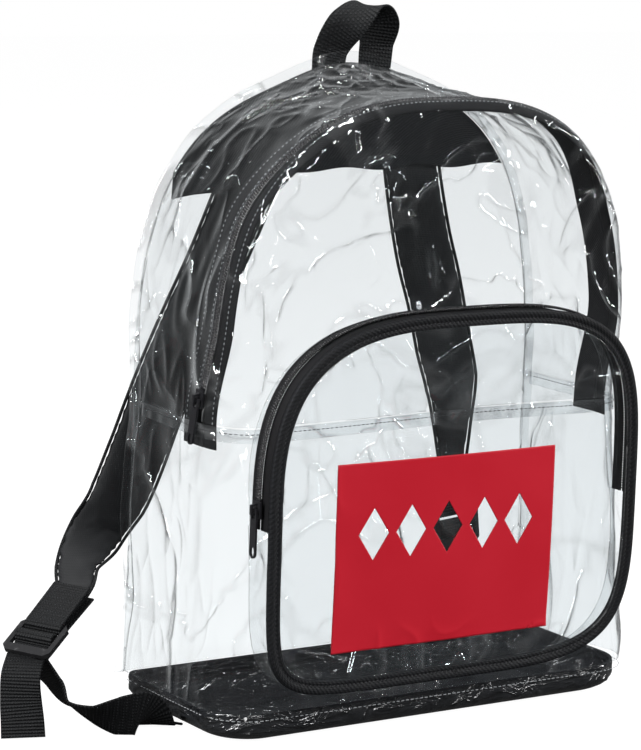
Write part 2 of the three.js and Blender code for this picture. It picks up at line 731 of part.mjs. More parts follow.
const pocketWalls = [
  {
    name: "pocket_gusset",
    finish: "clear",
    span: zipSpan,
    rear: pocketRootY,
    front: () => pocketTapeRearY - tapeLap,
    wall: filmWall,
    inset: tapeWall + layerGap,
    count: zipSteps,
  },
  {
    name: "pocket_gusset_lower",
    finish: "clear",
    span: [zipEnd, 1 + zipStart],
    rear: pocketRootY,
    front: () => pocketRearY,
    wall: filmWall,
    inset: 0,
    count: 24,
  },
  {
    name: "pocket_zip_tape_rear",
    finish: "zip",
    span: zipSpan,
    rear: () => pocketTapeRearY,
    front: () => pocketCoilY + coilLap,
    wall: tapeWall,
    inset: 0,
    count: zipSteps,
  },
  {
    name: "pocket_zip_tape_front",
    finish: "zip",
    span: zipSpan,
    rear: () => pocketCoilY - coilLap,
    front: () => pocketRearY,
    wall: tapeWall,
    inset: 0,
    count: zipSteps,
  },
  {
    name: "pocket_zip_coil",
    finish: "zip",
    span: coilSpan,
    rear: () => pocketCoilY + pocketCoilWidth / 2,
    front: () => pocketCoilY - pocketCoilWidth / 2,
    wall: coilHeight,
    inset: -coilHeight - 2 * layerGap,
    count: zipSteps,
  },
];
for (const { name, finish, span, rear, front, wall, inset, count } of pocketWalls) {
  const wallPoint = (u, v) => {
    const share = lerp(span[0], span[1], u);
    return pocketWallPoint(share, lerp(rear(share), front(share), v));
  };
  const options = { inset, inside: pocketMiddle, shape: (at) => at };
  add(name, sheet(wallPoint, steps(count), steps(1), wall, options), finish);
}
const onPocketCoil = (share) => pocketWallPoint(share, pocketCoilY);
const pocketSliderPlace = sliderPlace(onPocketCoil, pocketSliderShare, pocketMiddle, layerGap);
add("pocket_zip_slider", sliderGeometry(), "metal", pocketSliderPlace);
add("pocket_zip_pull", pullGeometry(), "metal", pocketSliderPlace);

// Binding round the pocket's front edge, and the front itself
const bindingShares = steps(42).slice(0, -1);
const bindingStations = bindingShares.map((share) => {
  const at = pocketPoint(share, 0, pocketFrontY);
  const across = pocketPoint(share, 1, pocketFrontY).sub(at);
  return { at, across, up: new THREE.Vector3(0, -1, 0) };
});
const bindingSection = [
  [0, -bindingWall * 0.25],
  [0, bindingWall * 0.25],
  [bindingWidth * 0.3, bindingWall / 2],
  [bindingWidth, bindingWall * 0.3],
  [bindingWidth, -bindingWall * 0.3],
  [bindingWidth * 0.3, -bindingWall / 2],
];
add(
  "pocket_binding",
  sweep(bindingStations, () => bindingSection, { ring: true }),
  "cloth",
);

function pocketSurfaceY(x, z) {
  const across = clamp(Math.abs(x - pocketCentreX) / pocketHalfWidth, 0, 1);
  const up = clamp(Math.abs(z - pocketCentreZ) / pocketRise, 0, 1);
  return pocketFrontY - bindingWall * 0.2 - pocketDome * (1 - across ** 2) * (1 - up ** 2);
}
const pocketPanelPoint = (u, v) => {
  const at = pocketPoint(u, bindingWidth + layerGap, 0);
  const size = 1 - v;
  const x = pocketCentreX + size * (at.x - pocketCentreX);
  const z = pocketCentreZ + size * (at.z - pocketCentreZ);
  return new THREE.Vector3(x, pocketSurfaceY(x, z), z);
};
const pocketSheet = (wall, inset) =>
  sheet(pocketPanelPoint, bindingShares, [0, 0.12, 0.3, 0.6, 1], wall, {
    inset,
    ring: true,
    inside: pocketMiddle,
    shape: (at) => at,
  });
add("pocket_front", pocketSheet(filmWall, 0), "clear");

// Printed square: a plain field with a row of open diamonds
const diamondCount = 5;
const diamondPitch = printWidth / (diamondCount + 1);
const diamondHalf = diamondPitch * 0.4;
const diamondRise = 0.12; // row above the middle, as a share of the square's height
const printShape = new THREE.Shape();
printShape.moveTo(printCentreX - printWidth / 2, printCentreZ - printHeight / 2);
printShape.lineTo(printCentreX + printWidth / 2, printCentreZ - printHeight / 2);
printShape.lineTo(printCentreX + printWidth / 2, printCentreZ + printHeight / 2);
printShape.lineTo(printCentreX - printWidth / 2, printCentreZ + printHeight / 2);
for (let i = 1; i <= diamondCount; i += 1) {
  const middle = printCentreX - printWidth / 2 + diamondPitch * i;
  const height = printCentreZ + printHeight * diamondRise;
  const diamond = new THREE.Path();
  diamond.moveTo(middle - diamondHalf, height);
  diamond.lineTo(middle, height + diamondHalf * 1.5);
  diamond.lineTo(middle + diamondHalf, height);
  diamond.lineTo(middle, height - diamondHalf * 1.5);
  printShape.holes.push(diamond);
}
const printPrism = new THREE.ExtrudeGeometry(printShape, { depth, bevelEnabled: false });
printPrism.rotateX(Math.PI / 2);
const inkSheet = solidOf(pocketSheet(printWall, -printWall - layerGap));
add("print_patch", geometryOf(inkSheet.intersect(solidOf(printPrism))), "print");

// Webbing and pads follow stations: x, y and z are shares of the half width, depth and height;
// turn is the heading of the width in degrees from +X towards -Y, tip its slope.
function acrossOf(turn, tip) {
  const heading = degToRad(turn);
  const slope = degToRad(tip);
  return new THREE.Vector3(
    Math.cos(heading) * Math.cos(slope),
    -Math.sin(heading) * Math.cos(slope),
    Math.sin(slope),
  );
}

// Lifts a station of webbing until its lower edge clears the floor.
function grounded(station) {
  const drop = (Math.abs(station.across.z) * webbingWidth + Math.abs(station.up.z) * webbingWall) / 2;
  station.at.z = Math.max(station.at.z, drop + layerGap);
  return station;
}

const placeOf = (row) =>
  new THREE.Vector3(row.x * halfWidth, row.y * depth, row.z * bodyHeight);

function stationsAlong(points, acrosses, finer) {
  const curve = new THREE.CatmullRomCurve3(points, false, "centripetal");
  const spans = points.length - 1;
  return steps(spans * finer).map((share) => {
    const row = Math.min(Math.floor(share * spans + 1e-6), spans - 1);
    const within = share * spans - row;
    const along = curve.getTangent(share);
    const across = acrosses[row].clone().lerp(acrosses[row + 1], within);
    across.addScaledVector(along, -across.dot(along)).normalize();
    return { at: curve.getPoint(share), across, up: along.clone().cross(across) };
  });
}

// Loop handle: feet flat on the yoke, turned edge-on at its peak. up is a share of the loop's
// height over the lifted back edge, down of the sewn foot, out of the bag's depth.
const handleRows = [
  { x: -1, out: 0, up: 0, down: 1, turn: 0 },
  { x: -1, out: 0, up: 0, down: 0.07, turn: 0 },
  { x: -0.85, out: 0.01, up: 0.3, down: 0, turn: 4 },
  { x: -0.3, out: -0.03, up: 0.74, down: 0, turn: 36 },
  { x: 0.55, out: -0.05, up: 1, down: 0, turn: 60 },
  { x: 1.05, out: -0.03, up: 0.76, down: 0, turn: 40 },
  { x: 1.1, out: 0.01, up: 0.36, down: 0, turn: 6 },
  { x: 1, out: 0, up: 0, down: 0.07, turn: 0 },
  { x: 1, out: 0, up: 0, down: 1, turn: 0 },
];
const handleFootY = yokeFaceY + layerGap + webbingWall / 2;
const handleFootZ = bodyHeight + handleLift * 0.75;
const handlePoints = handleRows.map((row) => {
  const rise = row.up * (handleHeight - handleLift) - row.down * handleFoot;
  return new THREE.Vector3(
    handleCentreX + row.x * handleSpread,
    handleFootY + row.out * depth,
    handleFootZ + rise,
  );
});
const handleTurns = handleRows.map((row) => acrossOf(row.turn, 0));
const handleStations = stationsAlong(handlePoints, handleTurns, 3);
add("grab_handle", sweep(handleStations, () => rectangle(handleWidth, webbingWall)), "cloth");

// Ladder buckle, in its own frame: X across the strap, Y down it, Z out. Bars and slots in
// order from the pad's end.
const bars = { top: [-15, -11], middle: [-4, 0], foot: [7, 13] };
const buckleCut = 3.5; // slanted corners
const slotHalf = webbingWidth / 2 + 1.5;

function buckleGeometry() {
  const half = buckleWidth / 2;
  const shape = new THREE.Shape();
  shape.moveTo(-half, bars.top[0] + buckleCut);
  shape.lineTo(-half + buckleCut, bars.top[0]);
  shape.lineTo(half - buckleCut, bars.top[0]);
  shape.lineTo(half, bars.top[0] + buckleCut);
  shape.lineTo(half, bars.foot[1] - buckleCut);
  shape.lineTo(half - buckleCut, bars.foot[1]);
  shape.lineTo(-half + buckleCut, bars.foot[1]);
  shape.lineTo(-half, bars.foot[1] - buckleCut);
  const slots = [
    [bars.top[1], bars.middle[0]],
    [bars.middle[1], bars.foot[0]],
  ];
  for (const [from, to] of slots) {
    const slot = new THREE.Path();
    slot.moveTo(-slotHalf, from);
    slot.lineTo(slotHalf, from);
    slot.lineTo(slotHalf, to);
    slot.lineTo(-slotHalf, to);
    shape.holes.push(slot);
  }
  const geometry = new THREE.ExtrudeGeometry(shape, { depth: buckleWall, bevelEnabled: false });
  return geometry.translate(0, 0, -buckleWall / 2);
}

// Routes of the webbing through the buckle, as [down, out] in its frame
const loopTurns = steps(6, -Math.PI / 2, Math.PI / 2);
const loopCentre = bars.top[1] - 1.2;
const loopRadius = 3.1;
const padTip = -20; // the pad ends here, up the strap from the buckle
const padTipWall = 4;
const loopReach = 26; // webbing sewn along the pad's tip
const loopOffset = padTipWall / 2 + layerGap + webbingWall / 2;
const loopRoute = [
  [padTip - loopReach, -loopOffset - 1.3],
  [padTip, -loopOffset - 0.3],
  ...loopTurns.map((turn) => [
    loopCentre + loopRadius * Math.cos(turn),
    loopRadius * Math.sin(turn),
  ]),
  [padTip, loopOffset + 0.3],
  [padTip - loopReach, loopOffset + 1.3],
];
const threadRoute = [
  [9, -5.4],
  [4, -5.3],
  [0, -5],
  [-3, -4.2],
  [-5.2, -2],
  [-5.6, 0],
  [-5, 2],
  [-3.5, 3.3],
  [-1.5, 3.6],
  [0.5, 2.9],
  [1.6, 1.4],
  [2, 0],
  [2.6, -1.2],
  [4.2, -2.2],
  [7, -2.8],
  [13, -2.9],
];

// Each strap: the pad's stations from the yoke down, the buckle's place and direction, the
// webbing from its sewn end on the base up to the buckle, and the tail below it.
const strapForms = {
  left: {
    pad: [
      { x: -0.4, y: 0, z: 0.8855, turn: 2, wide: 1, wall: 0.5 },
      { x: -0.45, y: 0.016, z: 0.835, turn: 2, wide: 1, wall: 0.8 },
      { x: -0.56, y: 0.06, z: 0.7213, turn: 0, wide: 1, wall: 1 },
      { x: -0.65, y: 0.1, z: 0.6343, turn: 0, wide: 1, wall: 1 },
      { x: -0.745, y: 0.12, z: 0.5472, turn: 0, wide: 1, wall: 1 },
      { x: -0.83, y: 0.125, z: 0.4676, turn: 0, wide: 1, wall: 1 },
      { x: -0.91, y: 0.12, z: 0.393, turn: 2, wide: 0.98, wall: 1 },
      { x: -1, y: 0.1, z: 0.3283, turn: 3, wide: 0.94, wall: 1 },
      { x: -1.1, y: 0.09, z: 0.2786, turn: 6, wide: 0.84, wall: 0.95 },
      { x: -1.22, y: 0.01, z: 0.2363, turn: 28, wide: 0.66, wall: 0.85 },
    ],
    buckle: { x: -1.552, y: 0.225, z: 0.1472 },
    down: new THREE.Vector3(-0.78, -0.36, -0.51),
    turn: 65,
    anchor: [
      { x: -1.03, y: 0.05, z: 0.0033, turn: 58, tip: 0 },
      { x: -1.09, y: 0.0, z: 0.005, turn: 62, tip: 8 },
      { x: -1.15, y: -0.055, z: 0.0249, turn: 75, tip: 55 },
      { x: -1.21, y: -0.095, z: 0.0343, turn: 90, tip: 86 },
      { x: -1.3, y: -0.075, z: 0.0343, turn: 105, tip: 70 },
      { x: -1.385, y: -0.01, z: 0.0363, turn: 112, tip: 34 },
      { x: -1.45, y: 0.08, z: 0.0497, turn: 108, tip: 8 },
      { x: -1.495, y: 0.155, z: 0.0821, turn: 85, tip: 0 },
    ],
    tail: [
      { x: -1.645, y: 0.15, z: 0.097, turn: 60, tip: 0 },
      { x: -1.65, y: 0.13, z: 0.0597, turn: 52, tip: 0 },
      { x: -1.652, y: 0.105, z: 0.0298, turn: 46, tip: 0 },
      { x: -1.655, y: 0.085, z: 0.002, turn: 42, tip: 0 },
    ],
  },
  right: {
    pad: [
      { x: 0.36, y: 0, z: 0.8855, turn: -2, wide: 1, wall: 0.5 },
      { x: 0.39, y: 0.016, z: 0.835, turn: -2, wide: 1, wall: 0.8 },
      { x: 0.48, y: 0.06, z: 0.7213, turn: 0, wide: 1, wall: 1 },
      { x: 0.57, y: 0.1, z: 0.6368, turn: 0, wide: 1, wall: 1 },
      { x: 0.64, y: 0.12, z: 0.5472, turn: 0, wide: 1, wall: 1 },
      { x: 0.7, y: 0.13, z: 0.4726, turn: 0, wide: 0.95, wall: 1 },
      { x: 0.715, y: 0.135, z: 0.4079, turn: 0, wide: 0.75, wall: 0.85 },
    ],
    buckle: { x: 0.74, y: 0.64, z: 0.2189 },
    down: new THREE.Vector3(0.08, -0.05, -0.995),
    turn: 0,
    anchor: [
      { x: 1.045, y: 0.1, z: 0.0033, turn: 100, tip: 0 },
      { x: 1.08, y: 0.2, z: 0.0033, turn: 80, tip: 0 },
      { x: 1.11, y: 0.36, z: 0.0033, turn: 20, tip: 0 },
      { x: 1.07, y: 0.53, z: 0.004, turn: -30, tip: 0 },
      { x: 0.97, y: 0.64, z: 0.0149, turn: -40, tip: 0 },
      { x: 0.86, y: 0.67, z: 0.0597, turn: -20, tip: 0 },
      { x: 0.79, y: 0.66, z: 0.1194, turn: -4, tip: 0 },
    ],
    tail: [
      { x: 0.75, y: 0.6, z: 0.1293, turn: 0, tip: 0 },
      { x: 0.745, y: 0.595, z: 0.0796, turn: 0, tip: 0 },
      { x: 0.74, y: 0.6, z: 0.0298, turn: 0, tip: 0 },
    ],
  },
};

// Rounded section of a pad
function padSection(width, wall) {
  const corners = 10;
  return Array.from({ length: corners }, (_, i) => {
    const turn = (2 * Math.PI * (i + 0.5)) / corners;
    const across = Math.sign(Math.cos(turn)) * Math.abs(Math.cos(turn)) ** 0.55;
    const up = Math.sign(Math.sin(turn)) * Math.abs(Math.sin(turn)) ** 0.55;
    return [(across * width) / 2, (up * wall) / 2];
  });
}

for (const [side, form] of Object.entries(strapForms)) {
  const centre = placeOf(form.buckle);
  const down = form.down.clone().normalize();
  const across = acrossOf(form.turn, 0);
  across.addScaledVector(down, -across.dot(down)).normalize();
  const out = down.clone().cross(across);
  const sideways = across.clone().negate();
  const frame = new THREE.Matrix4().makeBasis(sideways, down, out).setPosition(centre);
  const inFrame = ([along, off]) => new THREE.Vector3(0, along, off).applyMatrix4(frame);

  const tipRows = [-46, -33, padTip];
  const sizes = [
    ...form.pad,
    { wide: 0.6, wall: 0.72 },
    { wide: 0.53, wall: 0.6 },
    { wide: 0.5, wall: padTipWall / padWall },
  ];
  const padY = yokeFaceY + layerGap + padWall * 0.25;
  const padPlaces = [
    ...form.pad.map((row) => placeOf(row).setY(padY + row.y * depth)),
    ...tipRows.map((along) => inFrame([along, 0])),
  ];
  const padAcross = [
    ...form.pad.map((row) => acrossOf(row.turn, 0)),
    ...tipRows.map(() => across.clone()),
  ];
  const finer = 2;
  const padStations = stationsAlong(padPlaces, padAcross, finer);
  const padSectionAt = (i) => {
    const row = Math.min(Math.floor(i / finer), sizes.length - 2);
    const within = i / finer - row;
    const wide = lerp(sizes[row].wide, sizes[row + 1].wide, within);
    const wall = lerp(sizes[row].wall, sizes[row + 1].wall, within);
    return padSection(wide * padWidth, wall * padWall);
  };
  add(`strap_pad_${side}`, sweep(padStations, padSectionAt), "cloth");

  const webbing = () => rectangle(webbingWidth, webbingWall);
  const loopPoints = loopRoute.map(inFrame);
  const loopStations = stationsAlong(loopPoints, loopPoints.map(() => across.clone()), 1);
  add(`strap_loop_${side}`, sweep(loopStations, webbing), "cloth");
  add(`buckle_${side}`, buckleGeometry(), "plastic", frame);

  const anchorStations = stationsAlong(
    [...form.anchor.map(placeOf), inFrame(threadRoute[0])],
    [...form.anchor.map((row) => acrossOf(row.turn, row.tip)), across.clone()],
    3,
  );
  const threadPoints = threadRoute.map(inFrame);
  const threadStations = stationsAlong(threadPoints, threadPoints.map(() => across.clone()), 1);
  const tailStations = stationsAlong(
    [inFrame(threadRoute.at(-1)), ...form.tail.map(placeOf)],
    [across.clone(), ...form.tail.map((row) => acrossOf(row.turn, row.tip))],
    2,
  );
  const whole = [...anchorStations.slice(0, -1), ...threadStations, ...tailStations.slice(1)];
  add(`strap_webbing_${side}`, sweep(whole.map(grounded), webbing), "cloth");
}

export default bag;
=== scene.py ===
import math

import bmesh
import bpy
import numpy as np
from mathutils import Matrix, Vector, noise


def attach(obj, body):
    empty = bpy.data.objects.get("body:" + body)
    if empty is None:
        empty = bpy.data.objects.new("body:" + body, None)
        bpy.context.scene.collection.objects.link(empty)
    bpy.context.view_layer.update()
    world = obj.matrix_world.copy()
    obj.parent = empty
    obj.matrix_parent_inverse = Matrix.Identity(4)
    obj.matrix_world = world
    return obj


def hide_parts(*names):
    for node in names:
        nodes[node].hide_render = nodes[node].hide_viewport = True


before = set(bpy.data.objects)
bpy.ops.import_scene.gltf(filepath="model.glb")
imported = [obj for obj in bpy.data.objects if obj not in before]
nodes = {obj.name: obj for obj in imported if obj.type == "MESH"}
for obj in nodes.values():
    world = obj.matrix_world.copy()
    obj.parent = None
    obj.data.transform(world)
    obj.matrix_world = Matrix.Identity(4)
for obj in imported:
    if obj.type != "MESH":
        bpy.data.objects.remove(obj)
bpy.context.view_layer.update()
scene = bpy.context.scene

# Camera. It stands two metres off at the bag's left front corner with a long lens, a little
# above the loop's height, and is turned slightly about its own axis.
photo_width = 641
lens_pixels = 3127
aim = Vector((0, 0, 0.2))
around = math.radians(34.68)
above = math.radians(9.95)
tilt = math.radians(2.08)
distance = 2.0094
aim_right, aim_down = 67.9, 18.3  # pixels from the picture's middle to the aim
level_back = Vector((-math.sin(around), -math.cos(around), 0))
back = level_back * math.cos(above) + Vector((0, 0, math.sin(above)))
right = Vector((math.cos(around), -math.sin(around), 0))
up = back.cross(right)
level_right = right * math.cos(tilt) + up * math.sin(tilt)
level_up = back.cross(level_right)
ray = back * lens_pixels + level_right * aim_right - level_up * aim_down
toward_camera = ray.normalized()
level_right = (level_right - toward_camera * level_right.dot(toward_camera)).normalized()
level_up = toward_camera.cross(level_right)
camera = bpy.data.objects.new("camera", bpy.data.cameras.new("camera"))
scene.collection.objects.link(camera)
turn = Matrix((level_right, level_up, toward_camera)).transposed().to_4x4()
camera.matrix_world = Matrix.Translation(aim + back * distance) @ turn
camera.data.sensor_fit = "HORIZONTAL"
camera.data.sensor_width = 36
camera.data.lens = camera.data.sensor_width * lens_pixels / photo_width
camera.data.clip_end = 50
scene.camera = camera
scene.view_settings.view_transform = "Standard"
scene.cycles.transparent_max_bounces = 64
scene.cycles.max_bounces = 10


class Wire:
    """A socket. Arithmetic on it adds Math nodes."""

    def __init__(self, finish, socket):
        self.finish = finish
        self.socket = socket

    def maths(self, operation, *values):
        return self.finish.node("ShaderNodeMath", {"operation": operation}, dict(enumerate(values)))

    def __add__(self, other):
        return self.maths("ADD", self, other)

    def __sub__(self, other):
        return self.maths("SUBTRACT", self, other)

    def __rsub__(self, other):
        return self.maths("SUBTRACT", other, self)

    def __mul__(self, other):
        return self.maths("MULTIPLY", self, other)

    def __pow__(self, other):
        return self.maths("POWER", self, other)

    def __abs__(self):
        return self.maths("ABSOLUTE", self)

    __radd__ = __add__
    __rmul__ = __mul__

    def above(self, edge, soft):
        """0 below edge, 1 from edge + soft."""
        return self.finish.node(
            "ShaderNodeMapRange",
            {"interpolation_type": "SMOOTHSTEP"},
            {"Value": self, "From Min": edge, "From Max": edge + soft},
        )


class Finish:
    """A material or world, made node by node."""

    def __init__(self, name, owner=None):
        self.owner = owner or bpy.data.materials.new(name)
        self.owner.use_nodes = True
        self.tree = self.owner.node_tree
        self.tree.nodes.clear()

    def node(self, kind, settings=None, inputs=None, output=0):
        made = self.tree.nodes.new(kind)
        for key, value in (settings or {}).items():
            setattr(made, key, value)
        for key, value in (inputs or {}).items():
            if isinstance(value, Wire):
                self.tree.links.new(value.socket, made.inputs[key])
            else:
                made.inputs[key].default_value = value
        return Wire(self, made.outputs[output])

    def place(self, output="Object"):
        return self.node("ShaderNodeTexCoord", output=output)

    def noise(self, place, scale, detail, **more):
        given = {"Vector": place, "Scale": scale, "Detail": detail}
        given.update({key.capitalize(): value for key, value in more.items()})
        return self.node("ShaderNodeTexNoise", {}, given)

    def waves(self, place, direction, scale):
        given = {"Vector": place, "Scale": scale}
        return self.node("ShaderNodeTexWave", {"bands_direction": direction}, given)

    def turned(self, place, degrees):
        given = {"Vector": place, "Rotation": (0, 0, math.radians(degrees))}
        return self.node("ShaderNodeMapping", {}, given)

    def bump(self, height, strength, distance):
        given = {"Strength": strength, "Distance": distance, "Height": height}
        return self.node("ShaderNodeBump", {}, given)

    def tint(self, share, first, second):
        """A colour between two, each of them red, green and blue."""
        given = {0: share, 6: (*first, 1), 7: (*second, 1)}
        return self.node("ShaderNodeMix", {"data_type": "RGBA"}, given, "Result")

    def gloss(self, **inputs):
        """A Principled shader, its inputs named in words joined by underscores."""
        given = {key.replace("_", " "): value for key, value in inputs.items()}
        return self.node("ShaderNodeBsdfPrincipled", {}, given)

    def mixed(self, share, first, second):
        return self.node("ShaderNodeMixShader", {}, {0: share, 1: first, 2: second})

    def close(self, shader, kind="ShaderNodeOutputMaterial"):
        surface = self.tree.nodes.new(kind)
        self.tree.links.new(shader.socket, surface.inputs["Surface"])
        return self.owner


# Light. The camera sees a white room and a white floor. All else sees both of them dark, so
# that narrow softboxes show as the streaks that draw the creases of the film.
world = Finish("room", bpy.data.worlds.new("room"))
scene.world = world.owner
seen = world.node("ShaderNodeLightPath", output="Is Camera Ray")
room = world.node("ShaderNodeBackground", {}, {"Color": (0.06, 0.062, 0.065, 1), "Strength": 1})
backdrop = world.node("ShaderNodeBackground", {}, {"Color": (1, 1, 1, 1), "Strength": 1})
world.close(world.mixed(seen, room, backdrop), "ShaderNodeOutputWorld")
softboxes = {
    "left": {"place": (-1.6, 0.1, 1.2), "size": (0.14, 1.6), "power": 46},
    "front": {"place": (0.3, -2.4, 1.9), "size": (1.3, 0.16), "power": 44},
    "right": {"place": (1.9, -0.7, 0.9), "size": (0.12, 1.4), "power": 30},
    "top": {"place": (-0.2, 0.5, 2.2), "size": (1.2, 0.18), "power": 38},
    "low": {"place": (-0.9, -1.9, 0.35), "size": (0.2, 0.5), "power": 9},
}
for name, box in softboxes.items():
    lamp = bpy.data.lights.new(f"softbox_{name}", "AREA")
    lamp.shape = "RECTANGLE"
    lamp.size, lamp.size_y = box["size"]
    lamp.energy = box["power"]
    lit = bpy.data.objects.new(lamp.name, lamp)
    scene.collection.objects.link(lit)
    place = Vector(box["place"])
    lit.location = place
    lit.rotation_euler = (place - aim).to_track_quat("Z", "Y").to_euler()

floor_reach = 6
floor_paint = Finish("floor_paint")
floor_seen = floor_paint.node("ShaderNodeLightPath", output="Is Camera Ray")
floor_lit = {"Roughness": 0.9, "Emission_Color": (1, 1, 1, 1)}
floor_dim = floor_paint.gloss(**floor_lit, Base_Color=(0.025, 0.025, 0.025, 1), Emission_Strength=0.03)
floor_white = floor_paint.gloss(**floor_lit, Base_Color=(0.1, 0.1, 0.1, 1), Emission_Strength=0.98)
floor_paint.close(floor_paint.mixed(floor_seen, floor_dim, floor_white))
floor_mesh = bpy.data.meshes.new("floor")
corners = [(-1, -1), (1, -1), (1, 1), (-1, 1)]
floor_points = [(x * floor_reach, y * floor_reach, 0) for x, y in corners]
floor_mesh.from_pydata(floor_points, [], [(0, 1, 2, 3)])
floor_mesh.materials.append(floor_paint.owner)
floor = bpy.data.objects.new("floor", floor_mesh)
scene.collection.objects.link(floor)

# Shell of clear film below the waist. Soft PVC about half a millimetre thick, cut as one strip
# that runs round the left side, the front and the right side, creased where it was folded.
mm = 0.001
half_width, base_half_width, depth = 154 * mm, 157 * mm, 120 * mm
waist, arch_rise, arch_power = 196 * mm, 198 * mm, 2.8
corner_radius, base_corner_radius, arch_roll = 22 * mm, 30 * mm, 12 * mm
# The room that film takes between other layers, the film itself, and the gap between layers
film_wall, film_sheet, layer_gap = 1 * mm, 0.6 * mm, 0.3 * mm
base_height = 20 * mm
coil_width = 5.6 * mm
coil_slot = coil_width + 1 * mm
# Depth of the main zip at the waist, up the sides and over the top
coil_waist_y, coil_side_y, coil_top_y = -20 * mm, -33 * mm, -50 * mm
back_y, front_y = depth / 2, -depth / 2
body_height = waist + arch_rise
middle = np.array((0, 0, waist))
# Front face before (+) or behind (-) its plane, as shares of the body's height and depth
face_up = (0, 0.25, 0.5, 0.67, 0.84, 1)
face_forward = (0.05, 0.03, -0.04, -0.01, 0.03, 0.015)
# Dents (+) and swells (-): along is a share of the depth on a side and of the half width on
# the front, up and tall shares of the waist's height, push a share of the corner radius.
dents = [
    {"wall": -1, "along": 0.5, "reach": 0.35, "up": 1.02, "tall": 0.22, "push": 0.2},
    {"wall": -1, "along": 0.5, "reach": 0.3, "up": 0.37, "tall": 0.16, "push": 0.25},
    {"wall": -1, "along": 0, "reach": 0.25, "up": 0.55, "tall": 0.2, "push": 0.14},
    {"wall": -1, "along": 0.15, "reach": 0.3, "up": 1.5, "tall": 0.2, "push": 0.1},
    {"wall": 1, "along": 0.2, "reach": 0.3, "up": 0.75, "tall": 0.2, "push": 0.2},
    {"wall": 1, "along": 0.3, "reach": 0.3, "up": 1.4, "tall": 0.25, "push": 0.16},
    {"wall": 1, "along": -0.4, "reach": 0.25, "up": 0.18, "tall": 0.16, "push": -0.35},
    {"wall": 0, "along": 0.25, "reach": 0.55, "up": 1, "tall": 0.24, "push": 0.42},
    {"wall": 0, "along": -0.2, "reach": 0.3, "up": 1.55, "tall": 0.2, "push": 0.25},
    {"wall": 0, "along": 0.35, "reach": 0.25, "up": 1.65, "tall": 0.2, "push": -0.2},
]


def smooth(value, low, high):
    share = np.clip((np.asarray(value, float) - low) / (high - low), 0, 1)
    return share * share * (3 - 2 * share)


def mix(a, b, share):
    return a + (b - a) * share


def soften(points):
    """The points moved by the shell's dents."""
    x, y, z = points[..., 0], points[..., 1], points[..., 2]
    moved = points.copy()
    near_side = smooth(np.abs(x), half_width * 0.78, half_width * 0.95)
    for dent in dents:
        along = y / depth if dent["wall"] else x / half_width
        spread = ((along - dent["along"]) / dent["reach"]) ** 2
        rise = ((z / waist - dent["up"]) / dent["tall"]) ** 2
        push = dent["push"] * corner_radius * np.exp(-spread - rise)
        if dent["wall"]:
            moved[..., 0] -= np.where(x * dent["wall"] > 0, push * dent["wall"] * near_side, 0)
        else:
            moved[..., 1] += push * smooth(-y, 0, depth * 0.4)
    return moved


def face_y(z):
    """Depth of the flat front at a height."""
    share = np.clip(np.asarray(z, float) / body_height, 0, 1)
    row = np.clip(np.searchsorted(face_up, share, side="right") - 1, 0, len(face_up) - 2)
    low, high = np.take(face_up, row), np.take(face_up, row + 1)
    within = np.clip((share - low) / (high - low), 0, 1)
    within = within * within * (3 - 2 * within)
    return front_y - depth * mix(np.take(face_forward, row), np.take(face_forward, row + 1), within)


def coil_y(z):
    """Depth of the main zip's middle at a height."""
    rise = (np.asarray(z) - waist) / arch_rise
    on_side = mix(coil_waist_y, coil_side_y, smooth(rise, 0, 0.32))
    return mix(on_side, coil_top_y, smooth(rise, 0.6, 0.95))


def side_x(z):
    """Half width of the shell at a height."""
    rise = np.clip((np.asarray(z, float) - waist) / arch_rise, 0, 1)
    arch = half_width * (1 - rise**arch_power) ** (1 / arch_power)
    side = mix(base_half_width, half_width, smooth(z, 0, waist))
    return np.where(np.asarray(z) <= waist, side, arch)


def corner_at(z):
    """Radius of the rounded front corners at a height."""
    return mix(base_corner_radius, corner_radius, np.clip(np.asarray(z) / waist, 0, 1))


def corner_start(z):
    """Depth at which the side turns into the rounded corner."""
    edge = coil_y(z) - coil_slot / 2
    low = face_y(0) + base_corner_radius
    side = mix(low, coil_y(waist) - coil_slot / 2, np.asarray(z) / waist)
    return np.where(np.asarray(z) >= waist, edge, side)


side_share, corner_share = 0.16, 0.14


def wrap_point(u, z):
    """Sides and front below the waist, u from the left back edge to the right one."""
    side = np.where(u < 0.5, -1, 1)
    m = np.where(u < 0.5, u, 1 - u)
    start, wide, corner = corner_start(z), side_x(z), corner_at(z)
    bend = np.clip((m - side_share) / corner_share, 0, 1) * (math.pi / 2)
    front = np.clip((m - side_share - corner_share) / (0.5 - side_share - corner_share), 0, 1)
    x = (wide - corner * (1 - np.cos(bend))) * (1 - front)
    on_side = m <= side_share
    y = np.where(
        on_side,
        mix(back_y - layer_gap, start, m / side_share),
        start + (face_y(z) - start) * np.sin(bend),
    )
    return np.stack([side * np.where(on_side, wide, x), y, z + 0 * u], -1)


def normals_of(points, inside, ring=False):
    """Unit normals of a grid of points, away from a point inside."""
    if ring:
        across = np.roll(points, -1, 1) - np.roll(points, 1, 1)
    else:
        across = np.gradient(points, axis=1)
    normal = np.cross(across, np.gradient(points, axis=0))
    size = np.linalg.norm(normal, axis=-1, keepdims=True)
    normal = normal / np.maximum(size, 1e-12)
    outwards = np.sum(normal * (points - inside), -1, keepdims=True)
    return normal * np.where(outwards < 0, -1, 1)


